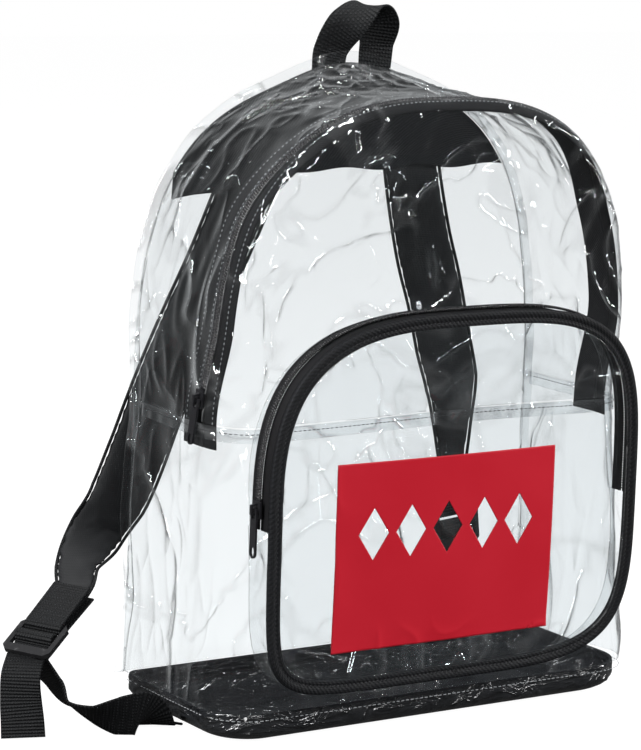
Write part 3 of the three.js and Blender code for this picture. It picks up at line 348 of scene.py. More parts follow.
def creases(points, normals, depth_of, stretch, seed):
    """The points moved along their normals by folds and ridges of soft film."""
    flat = points.reshape(-1, 3)
    heights = np.empty(len(flat))
    shift = Vector((seed, seed * 0.37, -seed))
    for i, (x, y, z) in enumerate(flat):
        at = Vector((x * stretch[0], y * stretch[1], z * stretch[2])) + shift
        broad = noise.noise(at)
        ridge = 1 - abs(noise.noise(at * 2.1 + shift))
        heights[i] = 0.55 * broad + 0.75 * ridge**6
    return points + normals * (heights.reshape(points.shape[:2]) * depth_of)[..., None]


def piece(name, points, faces, finish, slot, body="root", replaces=(), uv=None, flat=False):
    """A finished piece of the bag from points and faces."""
    mesh = bpy.data.meshes.new(name)
    mesh.from_pydata([tuple(p) for p in points], [], faces)
    mesh.validate()
    if uv is not None:
        layer = mesh.uv_layers.new(name="UVMap")
        index = np.empty(len(mesh.loops), np.int32)
        mesh.loops.foreach_get("vertex_index", index)
        layer.data.foreach_set("uv", np.asarray(uv, np.float32)[index].ravel())
    mesh.polygons.foreach_set("use_smooth", [not flat] * len(mesh.polygons))
    mesh.materials.append(finish)
    made = bpy.data.objects.new(name, mesh)
    scene.collection.objects.link(made)
    return claim(made, slot, body, replaces)


def claim(made, slot, body="root", replaces=()):
    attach(made, body)
    if replaces:
        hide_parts(*replaces)
    return made


def unit(vectors):
    return vectors / np.linalg.norm(vectors, axis=-1, keepdims=True)


def run_along(line):
    """Distance along a line at each of its points."""
    return np.concatenate([[0], np.cumsum(np.linalg.norm(np.diff(line, axis=0), axis=1))])


def lengths(points, axis):
    """Distance along a grid's middle row or column."""
    return run_along(points[points.shape[0] // 2] if axis else points[:, points.shape[1] // 2])


def walled(name, points, wall, finish, slot, inset=0.0, ring=False, inside=middle, **claims):
    """A closed sheet over a grid of points, its outer face inset below them."""
    normal = normals_of(points, inside, ring)
    rows, columns = points.shape[:2]
    outer, inner = points - normal * inset, points - normal * (inset + wall)
    both = np.concatenate([outer.reshape(-1, 3), inner.reshape(-1, 3)])
    index = np.arange(rows * columns).reshape(rows, columns)
    if ring:
        index = np.concatenate([index, index[:, :1]], 1)
    low, far = index[:-1], index[1:]
    count = rows * columns
    quads = np.stack([low[:, :-1], low[:, 1:], far[:, 1:], far[:, :-1]], -1).reshape(-1, 4)
    a, b, c = outer.reshape(-1, 3)[quads[0][:3]]
    toward = normal.reshape(-1, 3)[quads[0][0]]
    flip = np.dot(np.cross(b - a, c - b), toward) < 0
    if flip:
        quads = quads[:, ::-1]
    faces = [quads, quads[:, ::-1] + count]
    rims = [index[0], index[-1][::-1]]
    if not ring:
        rims += [index[:, -1], index[:, 0][::-1]]
    for rim in rims:
        strip = np.stack([rim[:-1], rim[:-1] + count, rim[1:] + count, rim[1:]], -1)
        faces.append(strip[:, ::-1] if flip else strip)
    u, v = np.meshgrid(lengths(points, 1), lengths(points, 0))
    uv = np.tile(np.stack([u, v], -1).reshape(-1, 2), (2, 1))
    every = np.concatenate(faces).tolist()
    return piece(name, both, every, finish, slot, uv=uv, **claims)


def film(name, haze, folds, stretch):
    """Clear film: see-through, with a gloss that grows edge-on and a bloom in its folds."""
    f = Finish(name)
    scaled = f.node("ShaderNodeMapping", {}, {"Vector": f.place(), "Scale": stretch})
    broad = f.noise(scaled, 9, 3, distortion=0.8)
    fine = f.noise(scaled, 26, 1, distortion=0.5)
    ridge = 1 - abs(broad * 2 - 1)
    crimp = 1 - abs(fine * 2 - 1)
    sharp = ridge**16
    bump = f.bump(sharp * 0.8 + broad * 1.5 + crimp**10 * 0.22, folds, 0.004)
    edge_on = f.node("ShaderNodeLayerWeight", {}, {"Blend": 0.5, "Normal": bump}, "Facing")
    bloom = sharp.above(0.35, 0.6) * haze
    share = edge_on.maths("MINIMUM", edge_on**5 * 0.9 + bloom + 0.014, 1)
    clear = f.node("ShaderNodeBsdfTransparent", {}, {"Color": (0.945, 0.954, 0.958, 1)})
    sheen = f.gloss(Base_Color=(0.9, 0.92, 0.93, 1), Metallic=0.8, Roughness=0.035, Normal=bump)
    return f.close(f.mixed(share, clear, sheen))


side_film = film("clear_film_sides", 0.05, 1, (1, 1, 0.4))
wrap_heights = np.linspace(base_height + layer_gap, waist - 0.2 * mm, 84)
wrap_u, wrap_z = np.meshgrid(np.linspace(0, 1, 300), wrap_heights)
wrap_points = soften(wrap_point(wrap_u, wrap_z))
free = smooth(wrap_z, base_height, 50 * mm) * (1 - smooth(wrap_z, waist - 22 * mm, waist - 4 * mm))
wrap_points = creases(wrap_points, normals_of(wrap_points, middle), 1.6 * mm * free, (24, 24, 9), 3.1)
walled("lower_shell", wrap_points, film_sheet, side_film, "clear", replaces=["lower_wrap"])

# Doubled strip along the waist seam. The film of the upper part is folded over the lower
# part's edge and sewn through with a row of black lockstitch near its top.
band_height = 8.5 * mm
band_heights = np.linspace(waist - band_height, waist - 0.2 * mm, 10)
band_u, band_z = np.meshgrid(np.linspace(0.012, 0.988, 300), band_heights)
band_wave = 0.5 * mm * np.sin(band_u * 210) * (waist - band_z) / band_height
band_points = soften(wrap_point(band_u, band_z))
band_points = band_points + normals_of(band_points, middle) * (band_wave + 0.35 * mm)[..., None]
seam_film = film("clear_film_seams", 0.2, 0.4, (1, 1, 1))
walled(
    "waist_band", band_points, 0.7 * mm, seam_film, "clear",
    inset=-0.9 * mm, replaces=["waist_seam_band"],
)

# Upper front: one arched piece of film, rolled back round its edge to meet the zip.
arch_turn = np.linspace(0, math.pi, 2881)
arch_x = -np.sign(np.cos(arch_turn)) * np.abs(np.cos(arch_turn)) ** (2 / arch_power) * half_width
arch_z = waist + arch_rise * np.sin(arch_turn) ** (2 / arch_power)
arch_run = np.concatenate([[0], np.cumsum(np.hypot(np.diff(arch_x), np.diff(arch_z)))])
arch_length = arch_run[-1]
handle_lift, handle_lift_reach = 14 * mm, 45 * mm


def arch_at(share):
    """Place across and height of the arch at a share of its length."""
    run = np.clip(share, 0, 1) * arch_length
    return np.interp(run, arch_run, arch_x), np.interp(run, arch_run, arch_z)


def rim_point(share, y):
    """The shell's outline at depth y. Shares below 0 and above 1 run down the side walls."""
    below = np.maximum(np.maximum(-share, share - 1), 0) * arch_length
    x, z = arch_at(share)
    z = z - below
    x = np.where(below > 0, np.sign(x) * side_x(z), x)
    lift = handle_lift * np.exp(-((x / handle_lift_reach) ** 2)) * smooth(y, 0, back_y)
    return np.stack([x, y + 0 * x, z + lift * np.clip((z - waist) / arch_rise, 0, 1)], -1)


def panel_point(share, v):
    """The front from its arch edge (v 0) round the roll (v 0.5) to the waist's middle (v 1)."""
    bend = np.clip(v / 0.5, 0, 1) * (math.pi / 2)
    edge_x, edge_z = arch_at(share)
    rise = (edge_z - waist) / arch_rise
    roll = mix(corner_radius / half_width, arch_roll / arch_rise, smooth(rise, 0, 1))
    inner = np.clip((v - 0.5) / 0.5, 0, 1)
    size = np.where(v < 0.5, 1 - roll * (1 - np.cos(bend)), (1 - roll) * (1 - inner))
    z = waist + size * (edge_z - waist)
    start = coil_y(edge_z) - coil_slot / 2
    y = start + (face_y(z) - start) * np.sin(bend)
    return np.stack([size * edge_x, y, np.maximum(z, waist + film_wall)], -1)


def below_panel(share, v):
    """The same turn below the waist, where the tape's end runs on."""
    below = np.maximum(np.maximum(-share, share - 1), 0) * arch_length
    bend = np.clip(v / 0.5, 0, 1) * (math.pi / 2)
    z = waist - below
    x = side_x(z) - corner_at(z) * (1 - np.cos(bend))
    y = corner_start(z) + (face_y(z) - corner_start(z)) * np.sin(bend)
    return np.stack([np.where(share < 0.5, -1, 1) * x, y, z], -1)


panel_rows = np.concatenate([np.linspace(0, 0.5, 22), np.linspace(0.5, 0.985, 70)[1:]])
panel_u, panel_v = np.meshgrid(np.linspace(0.0005, 0.9995, 300), panel_rows)
panel_points = soften(panel_point(panel_u, panel_v))
free = smooth(panel_v, 0.12, 0.45) * (1 - smooth(panel_v, 0.9, 0.97))
free = free * smooth(panel_points[..., 2], waist + 3 * mm, waist + 25 * mm)
panel_points = creases(panel_points, normals_of(panel_points, middle), 1.7 * mm * free, (15, 15, 15), 7.7)
front_film = film("clear_film_front", 0.05, 0.8, (1, 1, 1))
walled("upper_front", panel_points, film_sheet, front_film, "clear", replaces=["front_panel"])

# Gusset: a strip of film over the top and down both sides, from the zip to the back seam.
gusset_u, gusset_v = np.meshgrid(np.linspace(0.0005, 0.9995, 330), np.linspace(0, 1, 46))
gusset_edge = coil_y(rim_point(gusset_u, 0 * gusset_u)[..., 2]) + coil_slot / 2
gusset_points = soften(rim_point(gusset_u, mix(back_y - layer_gap, gusset_edge, gusset_v)))
free = smooth(gusset_v, 0.02, 0.2) * (1 - smooth(gusset_v, 0.55, 0.8))
free = free * smooth(gusset_points[..., 2], waist + 2 * mm, waist + 20 * mm)
gusset_normals = normals_of(gusset_points, middle)
gusset_points = creases(gusset_points, gusset_normals, 2.6 * mm * free, (20, 26, 12), 1.9)
walled("gusset", gusset_points, film_sheet, side_film, "clear", replaces=["upper_gusset"])

# Back: a flat panel of film, and above it the yoke of black woven polyester that carries the
# straps and the loop, hemmed along its lower edge.
yoke_height, yoke_lap = 338 * mm, 8 * mm
cloth_wall = 1.2 * mm
yoke_y = back_y + film_wall + layer_gap + cloth_wall
back_top = yoke_height + yoke_lap
back_u, back_z = np.meshgrid(np.linspace(0, 1, 110), np.linspace(base_height + layer_gap, back_top, 120))
fullness = np.sin(math.pi * back_u) * np.sin(math.pi * np.clip(back_z / back_top, 0, 1))
wide = side_x(back_z) - 0.4 * mm
back_points = np.stack([mix(-wide, wide, back_u), back_y + film_wall + 3 * mm * fullness, back_z], -1)
back_rise = np.clip((back_z - base_height) / 0.3, 0, 1)
free = np.sin(math.pi * back_u) ** 0.5 * np.sin(math.pi * back_rise) ** 0.5
back_normals = normals_of(back_points, middle)
back_points = creases(back_points, back_normals, -0.9 * mm * np.abs(free), (10, 10, 8), 5.3)
walled("back_film", back_points, film_sheet, front_film, "clear", replaces=["back_panel"])


band = 0.314  # a wave texture's bands to the metre are its scale over this


def cloth(name, colour, threads, bump_height, rough=0.72):
    """Black woven cloth: crossed threads on the piece's own UV map, which is in metres."""
    f = Finish(name)
    place = f.place("UV")
    turned = f.turned(place, 45)
    warp = f.waves(place, "X", threads * band)
    weft = f.waves(place, "Y", threads * band)
    twill = f.waves(turned, "X", threads * band / 2)
    worn = f.noise(place, 30, 3)
    bump = f.bump(warp * 0.4 + weft * 0.4 + twill * 0.8, 0.8, bump_height)
    tint = f.tint(twill * 0.6 + worn * 0.4, [c * 0.35 for c in colour], [c * 1.6 for c in colour])
    roughness = worn * 0.15 + rough
    return f.close(f.gloss(Base_Color=tint, Roughness=roughness, Specular_IOR_Level=0.2, Normal=bump))


yoke_cloth = cloth("yoke_cloth", (0.008, 0.0085, 0.01), 1000, 0.0003)
yoke_shares = np.linspace(0, 0.5, 2001)
yoke_start = yoke_shares[np.argmax(arch_at(yoke_shares)[1] > yoke_height + 2 * mm)]
yoke_u, yoke_v = np.meshgrid(np.linspace(0, 1, 140), np.linspace(0, 1, 40))
yoke_top = rim_point(mix(yoke_start, 1 - yoke_start, yoke_u), back_y + 0 * yoke_u)
yoke_foot_x = mix(-1, 1, yoke_u) * (side_x(yoke_height) - 0.4 * mm)
yoke_sag = 15 * mm * (1 - smooth(yoke_u, 0, 0.4))
yoke_foot_z = yoke_height + 1.2 * mm * np.sin(yoke_u * 28) - yoke_sag
yoke_x = mix(yoke_foot_x, yoke_top[..., 0], yoke_v)
yoke_z = mix(yoke_foot_z, yoke_top[..., 2], yoke_v) - 0.5 * mm * yoke_v
yoke_points = np.stack([yoke_x, yoke_y + 0 * yoke_u, yoke_z], -1)
walled("yoke", yoke_points, cloth_wall, yoke_cloth, "cloth", replaces=["back_yoke"])


def swept(name, at, across, up, section, finish, slot, ring=False, **claims):
    """A bar of a fixed section along stations; section is rows of across and up offsets."""
    corners = section.shape[-2]
    section = np.broadcast_to(section, (len(at), corners, 2))
    points = at[:, None] + section[..., :1] * across[:, None] + section[..., 1:] * up[:, None]
    loop = np.concatenate([np.arange(corners), [0]])
    rows = np.arange(len(at) + (1 if ring else 0)) % len(at)
    faces = []
    for low, far in zip(rows[:-1], rows[1:]):
        for a, b in zip(loop[:-1], loop[1:]):
            quad = (low * corners + a, low * corners + b, far * corners + b, far * corners + a)
            faces.append(quad)
    if not ring:
        last = (len(at) - 1) * corners
        faces += [tuple(range(corners))[::-1], tuple(last + k for k in range(corners))]
    first, second = points[0], points[1]
    facing = np.cross(first[1] - first[0], second[0] - first[0])
    if np.dot(facing, first[0] - first.mean(0)) < 0:
        faces = [face[::-1] for face in faces]
    run = run_along(at)
    uv = np.stack([section[..., 0], np.repeat(run[:, None], corners, 1)], -1).reshape(-1, 2)
    return piece(name, points.reshape(-1, 3), faces, finish, slot, uv=uv, **claims)


# Back seam: a clear fin round the bag's back edge, where gusset, sides and back are welded.
leg_share = (waist - base_height - layer_gap) / arch_length
fin_shares = np.linspace(-leg_share, 1 + leg_share, 420)


def outline_frame(shares, y):
    """Points of the outline at depth y, with outward and along directions."""
    at = rim_point(shares, y + 0 * shares)
    along = rim_point(shares + 1e-3, y + 0 * shares) - rim_point(shares - 1e-3, y + 0 * shares)
    along = unit(along)
    out = np.stack([-along[:, 2], 0 * shares, along[:, 0]], -1)
    toward = np.sum(out * (at - middle), 1, keepdims=True)
    return at, out * np.where(toward < 0, -1, 1), along


fin_at, fin_out, _ = outline_frame(fin_shares, back_y)
fin_round = np.linspace(-math.pi / 2, math.pi / 2, 7)
fin_wide, fin_thick = 7 * mm, 1 * mm
fin_section = np.array(
    [(0.3 * mm, -fin_thick * 0.7)]
    + [(fin_wide - fin_thick + fin_thick * math.cos(t), fin_thick * math.sin(t)) for t in fin_round]
    + [(0.3 * mm, fin_thick * 0.7)]
)
fin_at = soften(fin_at)
fin_at[:, 1] += 0.5 * mm * np.sin(fin_shares * 90)
fin_up = np.tile((0.0, 1.0, 0.0), (len(fin_at), 1))
swept("seam_fin", fin_at, fin_out, fin_up, fin_section, seam_film, "clear", replaces=["back_seam_flange"])

# Main zip. Black woven tape is sewn under both films along the arch, and its ends run on below
# the waist seam. The nylon coil shows in the slot between the films.
tape_wall = 1 * mm
tape_tail = 15 * mm
rear_tape, front_tape = 20 * mm, 12 * mm
tape_cloth = cloth("zip_tape", (0.006, 0.006, 0.007), 1500, 0.0002, 0.6)
tape_u, tape_v = np.meshgrid(
    np.linspace(-tape_tail / arch_length, 1 + tape_tail / arch_length, 420), np.linspace(0, 1, 8)
)
tape_line = coil_y(rim_point(tape_u, 0 * tape_u)[..., 2])
rear_points = rim_point(tape_u, tape_line + mix(-coil_slot / 2 - 0.5 * mm, rear_tape, tape_v))
walled(
    "zip_tape_rear", soften(rear_points), tape_wall, tape_cloth, "zip",
    inset=film_wall + layer_gap, replaces=["main_zip_tape_rear"],
)
reach = np.abs(face_y(arch_at(tape_u)[1]) - (coil_y(arch_at(tape_u)[1]) - coil_slot / 2))
tape_bend = np.minimum(front_tape / reach, 1.1) / (math.pi / 2) * 0.5 * tape_v
on_arch = (tape_u >= 0) & (tape_u <= 1)
front_points = np.where(on_arch[..., None], panel_point(tape_u, tape_bend), below_panel(tape_u, tape_bend))
walled(
    "zip_tape_front", soften(front_points), tape_wall, tape_cloth, "zip",
    inset=film_wall + 0.8 * mm, replaces=["main_zip_tape_front"],
)


def along_tree():
    """Copies of a shape at a pitch along a path, its X along the path and its Z outwards."""
    tree = bpy.data.node_groups.new("row_along_path", "GeometryNodeTree")
    face = tree.interface
    face.new_socket("Path", in_out="INPUT", socket_type="NodeSocketGeometry")
    face.new_socket("Shape", in_out="INPUT", socket_type="NodeSocketObject")
    face.new_socket("Pitch", in_out="INPUT", socket_type="NodeSocketFloat")
    face.new_socket("Finish", in_out="INPUT", socket_type="NodeSocketMaterial")
    face.new_socket("Row", in_out="OUTPUT", socket_type="NodeSocketGeometry")

    def node(kind, settings=None, links=None):
        made = tree.nodes.new(kind)
        for key, value in (settings or {}).items():
            setattr(made, key, value)
        for key, value in (links or {}).items():
            if isinstance(value, bpy.types.NodeSocket):
                tree.links.new(value, made.inputs[key])
            else:
                made.inputs[key].default_value = value
        return made

    given = node("NodeGroupInput").outputs
    curve = node("GeometryNodeMeshToCurve", {}, {"Mesh": given["Path"]})
    spacing = {"Curve": curve.outputs[0], "Length": given["Pitch"]}
    evenly = node("GeometryNodeResampleCurve", {"mode": "LENGTH"}, spacing)
    along = node("GeometryNodeInputTangent")
    out = node("GeometryNodeInputNamedAttribute", {"data_type": "FLOAT_VECTOR"}, {"Name": "out"})
    first = node("FunctionNodeAlignRotationToVector", {"axis": "X"}, {"Vector": along.outputs[0]})
    second = node(
        "FunctionNodeAlignRotationToVector",
        {"axis": "Z", "pivot_axis": "X"},
        {"Rotation": first.outputs[0], "Vector": out.outputs["Attribute"]},
    )
    shape = node("GeometryNodeObjectInfo", {}, {"Object": given["Shape"]})
    placed = node(
        "GeometryNodeInstanceOnPoints",
        {},
        {"Points": evenly.outputs[0], "Instance": shape.outputs["Geometry"], "Rotation": second.outputs[0]},
    )
    real = node("GeometryNodeRealizeInstances", {}, {"Geometry": placed.outputs[0]})
    paint = {"Geometry": real.outputs[0], "Material": given["Finish"]}
    painted = node("GeometryNodeSetMaterial", {}, paint)
    node("NodeGroupOutput", {}, {"Row": painted.outputs[0]})
    return tree


row_tree = along_tree()


def bead(name, length, width, height, lean=0.0, sides=6):
    """A small rounded bar along X for stitches, or a tooth of a coil where it is wide."""
    stations = [(-0.5, 0.45), (-0.36, 0.95), (0.36, 0.95), (0.5, 0.45)]
    long_way = width > length
    points, faces = [], []
    for share, size in stations:
        for k in range(sides):
            turn = 2 * math.pi * k / sides
            side, top = size * math.cos(turn) / 2, size * math.sin(turn) / 2
            if long_way:
                points.append((side * length + lean * share * width, share * width, top * height))
            else:
                points.append((share * length, side * width, top * height))
    for row in range(len(stations) - 1):
        for k in range(sides):
            a, b = row * sides + k, row * sides + (k + 1) % sides
            faces.append((a, b, b + sides, a + sides))
    faces += [tuple(range(sides))[::-1], tuple(len(points) - sides + k for k in range(sides))]
    mesh = bpy.data.meshes.new(name)
    mesh.from_pydata(points, [], faces)
    tidy = bmesh.new()
    tidy.from_mesh(mesh)
    bmesh.ops.recalc_face_normals(tidy, faces=tidy.faces)
    tidy.to_mesh(mesh)
    tidy.free()
    mesh.polygons.foreach_set("use_smooth", [True] * len(mesh.polygons))
    made = bpy.data.objects.new(name, mesh)
    scene.collection.objects.link(made)
    made.hide_render = True
    return made


def evaluated(made):
    bpy.context.view_layer.update()
    return made.evaluated_get(bpy.context.evaluated_depsgraph_get())


def settle(made):
    """What the object's modifiers make of it becomes its own mesh."""
    real = bpy.data.meshes.new_from_object(evaluated(made))
    made.modifiers.clear()
    made.data = real


def row_of(name, path, out, pitch, shape, finish, slot, **claims):
    """One piece made of a shape repeated along a path of points with outward directions."""
    mesh = bpy.data.meshes.new(name)
    mesh.from_pydata([tuple(p) for p in path], [(i, i + 1) for i in range(len(path) - 1)], [])
    outwards = mesh.attributes.new("out", "FLOAT_VECTOR", "POINT")
    outwards.data.foreach_set("vector", np.asarray(out, np.float32).ravel())
    made = bpy.data.objects.new(name, mesh)
    scene.collection.objects.link(made)
    row = made.modifiers.new("row", "NODES")
    row.node_group = row_tree
    chosen = {"Shape": shape, "Pitch": pitch, "Finish": finish}
    for socket in row_tree.interface.items_tree:
        if socket.name in chosen:
            row[socket.identifier] = chosen[socket.name]
    settle(made)
    return claim(made, slot, **claims)


def coil_finish():
    f = Finish("zip_coil")
    grain = f.noise(f.place(), 600, 2)
    return f.close(f.gloss(Base_Color=(0.03, 0.03, 0.032, 1), Roughness=grain * 0.2 + 0.16))


coil_nylon = coil_finish()
slider_height, slider_reach = 15 * mm, 8 * mm
coil_shares = np.linspace((slider_height + slider_reach) / arch_length, 0.9995, 700)
_, coil_out, coil_along = outline_frame(coil_shares, 0)
coil_at = rim_point(coil_shares, coil_y(arch_at(coil_shares)[1]))
main_tooth = bead("main_tooth", 1.25 * mm, 4.6 * mm, 1.9 * mm, 0.12)
for side, name in ((-1, "zip_coil_rear"), (1, "zip_coil_front")):
    half_coil = np.array((0, side * 0.9 * mm, 0)) + coil_along * side * 0.4 * mm
    row_of(
        name,
        soften(coil_at + coil_out * -0.3 * mm + half_coil),
        coil_out,
        1.7 * mm,
        main_tooth,
        coil_nylon,
        "zip",
        replaces=["main_zip_coil"] if side < 0 else (),
    )


def thread(name, colour):
    f = Finish(name)
    twist = f.noise(f.place(), 900, 1)
    tint = f.tint(twist, colour, [min(1, c * 1.5 + 0.01) for c in colour])
    return f.close(f.gloss(Base_Color=tint, Roughness=0.6))


black_thread = thread("black_thread", (0.01, 0.01, 0.012))
grey_thread = thread("grey_thread", (0.28, 0.29, 0.3))
stitch = bead("stitch", 2.3 * mm, 0.55 * mm, 0.5 * mm)
short_stitch = bead("short_stitch", 1.5 * mm, 0.6 * mm, 0.45 * mm)
seam_shares = np.linspace(0.002, 0.998, 700)
seam_height = coil_y(arch_at(seam_shares)[1])
_, seam_out, _ = outline_frame(seam_shares, 0)
for name, offset in (("zip_seam_rear", 6.5 * mm), ("zip_seam_rear_outer", 16.5 * mm)):
    row_of(
        name,
        soften(rim_point(seam_shares, seam_height + offset) - seam_out * 1.0 * mm),
        seam_out,
        3.2 * mm,
        short_stitch,
        grey_thread,
        "zip",
    )
front_seam = soften(panel_point(seam_shares, 0 * seam_shares + 0.1))
seam_grid = soften(panel_point(*np.meshgrid(seam_shares, np.linspace(0.08, 0.12, 3))))
front_out = normals_of(seam_grid, middle)[1]
row_of(
    "zip_seam_front", front_seam - front_out * 1.0 * mm, front_out, 3.2 * mm,
    short_stitch, grey_thread, "zip",
)

# Lockstitch of the waist seam, in black thread.
band_line_u = np.linspace(0.02, 0.98, 900)
band_grid_u, band_grid_z = np.meshgrid(band_line_u, waist + np.array((-3.6, -3.0, -2.4)) * mm)
band_line = soften(wrap_point(band_grid_u, band_grid_z))
band_out = normals_of(band_line, middle)[1]
row_of(
    "waist_stitches", band_line[1] + band_out * 1.45 * mm, band_out, 3.4 * mm,
    stitch, black_thread, "zip",
)


def enamel(name, colour, rough, coat):
    """Black painted metal or moulded plastic, with light handling marks."""
    f = Finish(name)
    marks = f.noise(f.place(), 240, 4, roughness=0.7)
    wear = marks.above(0.55, 0.2)
    tint = f.tint(wear, colour, [c * 2 + 0.01 for c in colour])
    bump = f.bump(marks, 0.15, 0.0002)
    roughness = wear * 0.15 + rough
    return f.close(f.gloss(Base_Color=tint, Roughness=roughness, Coat_Weight=coat, Normal=bump))


def dressed(name, finish, rounding):
    """One of the part's own pieces, with a material and rounded edges."""
    hard = nodes[name]
    hard.data.materials.clear()
    hard.data.materials.append(finish)
    edge = hard.modifiers.new("edge", "BEVEL")
    edge.width = rounding
    edge.segments = 2
    edge.limit_method = "ANGLE"


# Sliders and pulls: die-cast, black enamelled. Each pull hangs on its slider's bridge.
slider_enamel = enamel("slider_enamel", (0.012, 0.012, 0.014), 0.28, 0.3)
for name in ("main_zip_slider", "main_zip_pull", "pocket_zip_slider", "pocket_zip_pull"):
    dressed(name, slider_enamel, 0.2 * mm)

# Front pocket: a clear gusset that stands off the bag's front, with a zip round its upper
# part, and a domed clear front held by a thick folded binding.
pocket_centre_x, pocket_centre_z = -1.5 * mm, 146 * mm
pocket_half, pocket_rise, pocket_drop = 140 * mm, 119 * mm, 114 * mm
pocket_y, pocket_dome = -84 * mm, 5 * mm
binding_width, binding_wall = 9 * mm, 4.5 * mm
pocket_tape, pocket_coil = 7 * mm, 5 * mm
# Heights from the pocket's centre at which its zip ends, and at which its slider stands
pocket_zip_drop, pocket_slider_rise = 8 * mm, 4 * mm
pocket_turn = np.linspace(0, 2 * math.pi, 2881)
pocket_out, pocket_up = -np.sin(pocket_turn), -np.cos(pocket_turn)
left, high = pocket_out < 0, pocket_up > 0
pocket_power = np.where(high, np.where(left, 2.9, 3.7), np.where(left, 7, 4.2))
pocket_wide = np.sign(pocket_out) * np.abs(pocket_out) ** (2 / pocket_power) * pocket_half
pocket_x = pocket_centre_x + pocket_wide
pocket_reach = np.where(pocket_up > 0, pocket_rise, pocket_drop)
pocket_z = pocket_centre_z + np.sign(pocket_up) * np.abs(pocket_up) ** (2 / pocket_power) * pocket_reach
pocket_run = np.concatenate([[0], np.cumsum(np.hypot(np.diff(pocket_x), np.diff(pocket_z)))])
pocket_length = pocket_run[-1]
pocket_middle = np.array((pocket_centre_x, (front_y + pocket_y) / 2, pocket_centre_z))


def pocket_point(share, inset, y):
    """A point of the pocket's outline moved inwards, share 0 at the middle of its foot."""
    def on(s):
        run = (s % 1) * pocket_length
        return np.interp(run, pocket_run, pocket_x), np.interp(run, pocket_run, pocket_z)

    x, z = on(share)
    (x0, z0), (x1, z1) = on(share - 2e-3), on(share + 2e-3)
    long = np.hypot(x1 - x0, z1 - z0)
    in_x, in_z = -(z1 - z0) / long, (x1 - x0) / long
    away = in_x * (x - pocket_centre_x) + in_z * (z - pocket_centre_z) > 0
    turn_in = np.where(away, -1, 1)
    return np.stack([x + in_x * turn_in * inset, y + 0 * x, z + in_z * turn_in * inset], -1)


def share_at(height, side):
    """How far up the pocket's left (1) or right (-1) side a height is reached."""
    shares = np.linspace(0, 0.5, 4001)
    reached = pocket_point(side * shares, 0, 0)[:, 2] > height
    return shares[np.argmax(reached & (shares > 0.05))]


zip_start = share_at(pocket_centre_z - pocket_zip_drop, 1)
zip_end = 1 - share_at(pocket_centre_z - pocket_zip_drop, -1)
pocket_coil_y = pocket_y + binding_wall / 2 + pocket_tape + pocket_coil / 2
pocket_rear_y = pocket_y + binding_wall / 2 + layer_gap
tape_rear_y = pocket_coil_y + pocket_coil / 2 + pocket_tape


def body_y(x, z):
    """Depth of the bag's front behind a point, its rounded corners included."""
    start = corner_start(z)
    wide = side_x(z)
    rolled = mix(corner_radius, arch_roll, np.clip((z - waist) / arch_rise, 0, 1))
    corner = np.where(z > waist, rolled, corner_at(z))
    bend = np.clip((np.abs(x) - (wide - corner)) / corner, 0, 0.97)
    y = start + (face_y(z) - start) * np.sqrt(1 - bend * bend)
    return soften(np.stack([x, y, z], -1))[..., 1]


def pocket_wall(name, start, end, far, near, wall, finish, slot, inset, wave=0.0, **claims):
    """A strip round the pocket, from far, or the bag's front where that is None, to near."""
    share, v = np.meshgrid(np.linspace(start, end, 360), np.linspace(0, 1, 14))
    foot = pocket_point(share, 1 * mm, 0)
    root = body_y(foot[..., 0], foot[..., 2]) - 1.2 * mm if far is None else far
    y = mix(root, near, v)
    points = pocket_point(share, 1 * mm, y)
    if wave:
        normal = normals_of(points, pocket_middle)
        points = creases(points, normal, wave * np.sin(math.pi * v), (26, 40, 26), 4.4)
    return walled(name, points, wall, finish, slot, inset=inset, inside=pocket_middle, **claims)


pocket_film = film("clear_film_pocket", 0.05, 0.6, (1, 1, 1))
pocket_wall(
    "pocket_wall_upper", zip_start, zip_end, None, tape_rear_y - 4 * mm, film_sheet, pocket_film,
    "clear", tape_wall + layer_gap, -1.0 * mm, replaces=["pocket_gusset"],
)
pocket_wall(
    "pocket_wall_lower", zip_end, 1 + zip_start, None, pocket_rear_y, film_sheet, pocket_film,
    "clear", 0, -1.6 * mm, replaces=["pocket_gusset_lower"],
)
pocket_wall(
    "pocket_tape_rear", zip_start, zip_end, tape_rear_y, pocket_coil_y + 1 * mm, tape_wall,
    tape_cloth, "zip", 0, replaces=["pocket_zip_tape_rear"],
)
pocket_wall(
    "pocket_tape_front", zip_start, zip_end, pocket_coil_y - 1 * mm, pocket_rear_y, tape_wall,
    tape_cloth, "zip", 0, replaces=["pocket_zip_tape_front"],
)
teeth_start = share_at(pocket_centre_z + pocket_slider_rise, 1) + slider_reach / pocket_length
teeth_shares = np.linspace(teeth_start, zip_end - 2 * mm / pocket_length, 700)
teeth_at = pocket_point(teeth_shares, 0, pocket_coil_y)
teeth_out = unit(pocket_point(teeth_shares, -1 * mm, pocket_coil_y) - teeth_at)
teeth_along = unit(np.gradient(teeth_at, axis=0))
pocket_tooth = bead("pocket_tooth", 1.2 * mm, 3.6 * mm, 2 * mm, 0.12)
for side, name in ((-1, "pocket_coil_rear"), (1, "pocket_coil_front")):
    half_coil = np.array((0, side * 1.1 * mm, 0)) + teeth_along * side * 0.4 * mm
    row_of(
        name,
        teeth_at + teeth_out * 0.6 * mm + half_coil,
        teeth_out,
        1.65 * mm,
        pocket_tooth,
        coil_nylon,
        "zip",
        replaces=["pocket_zip_coil"] if side < 0 else (),
    )

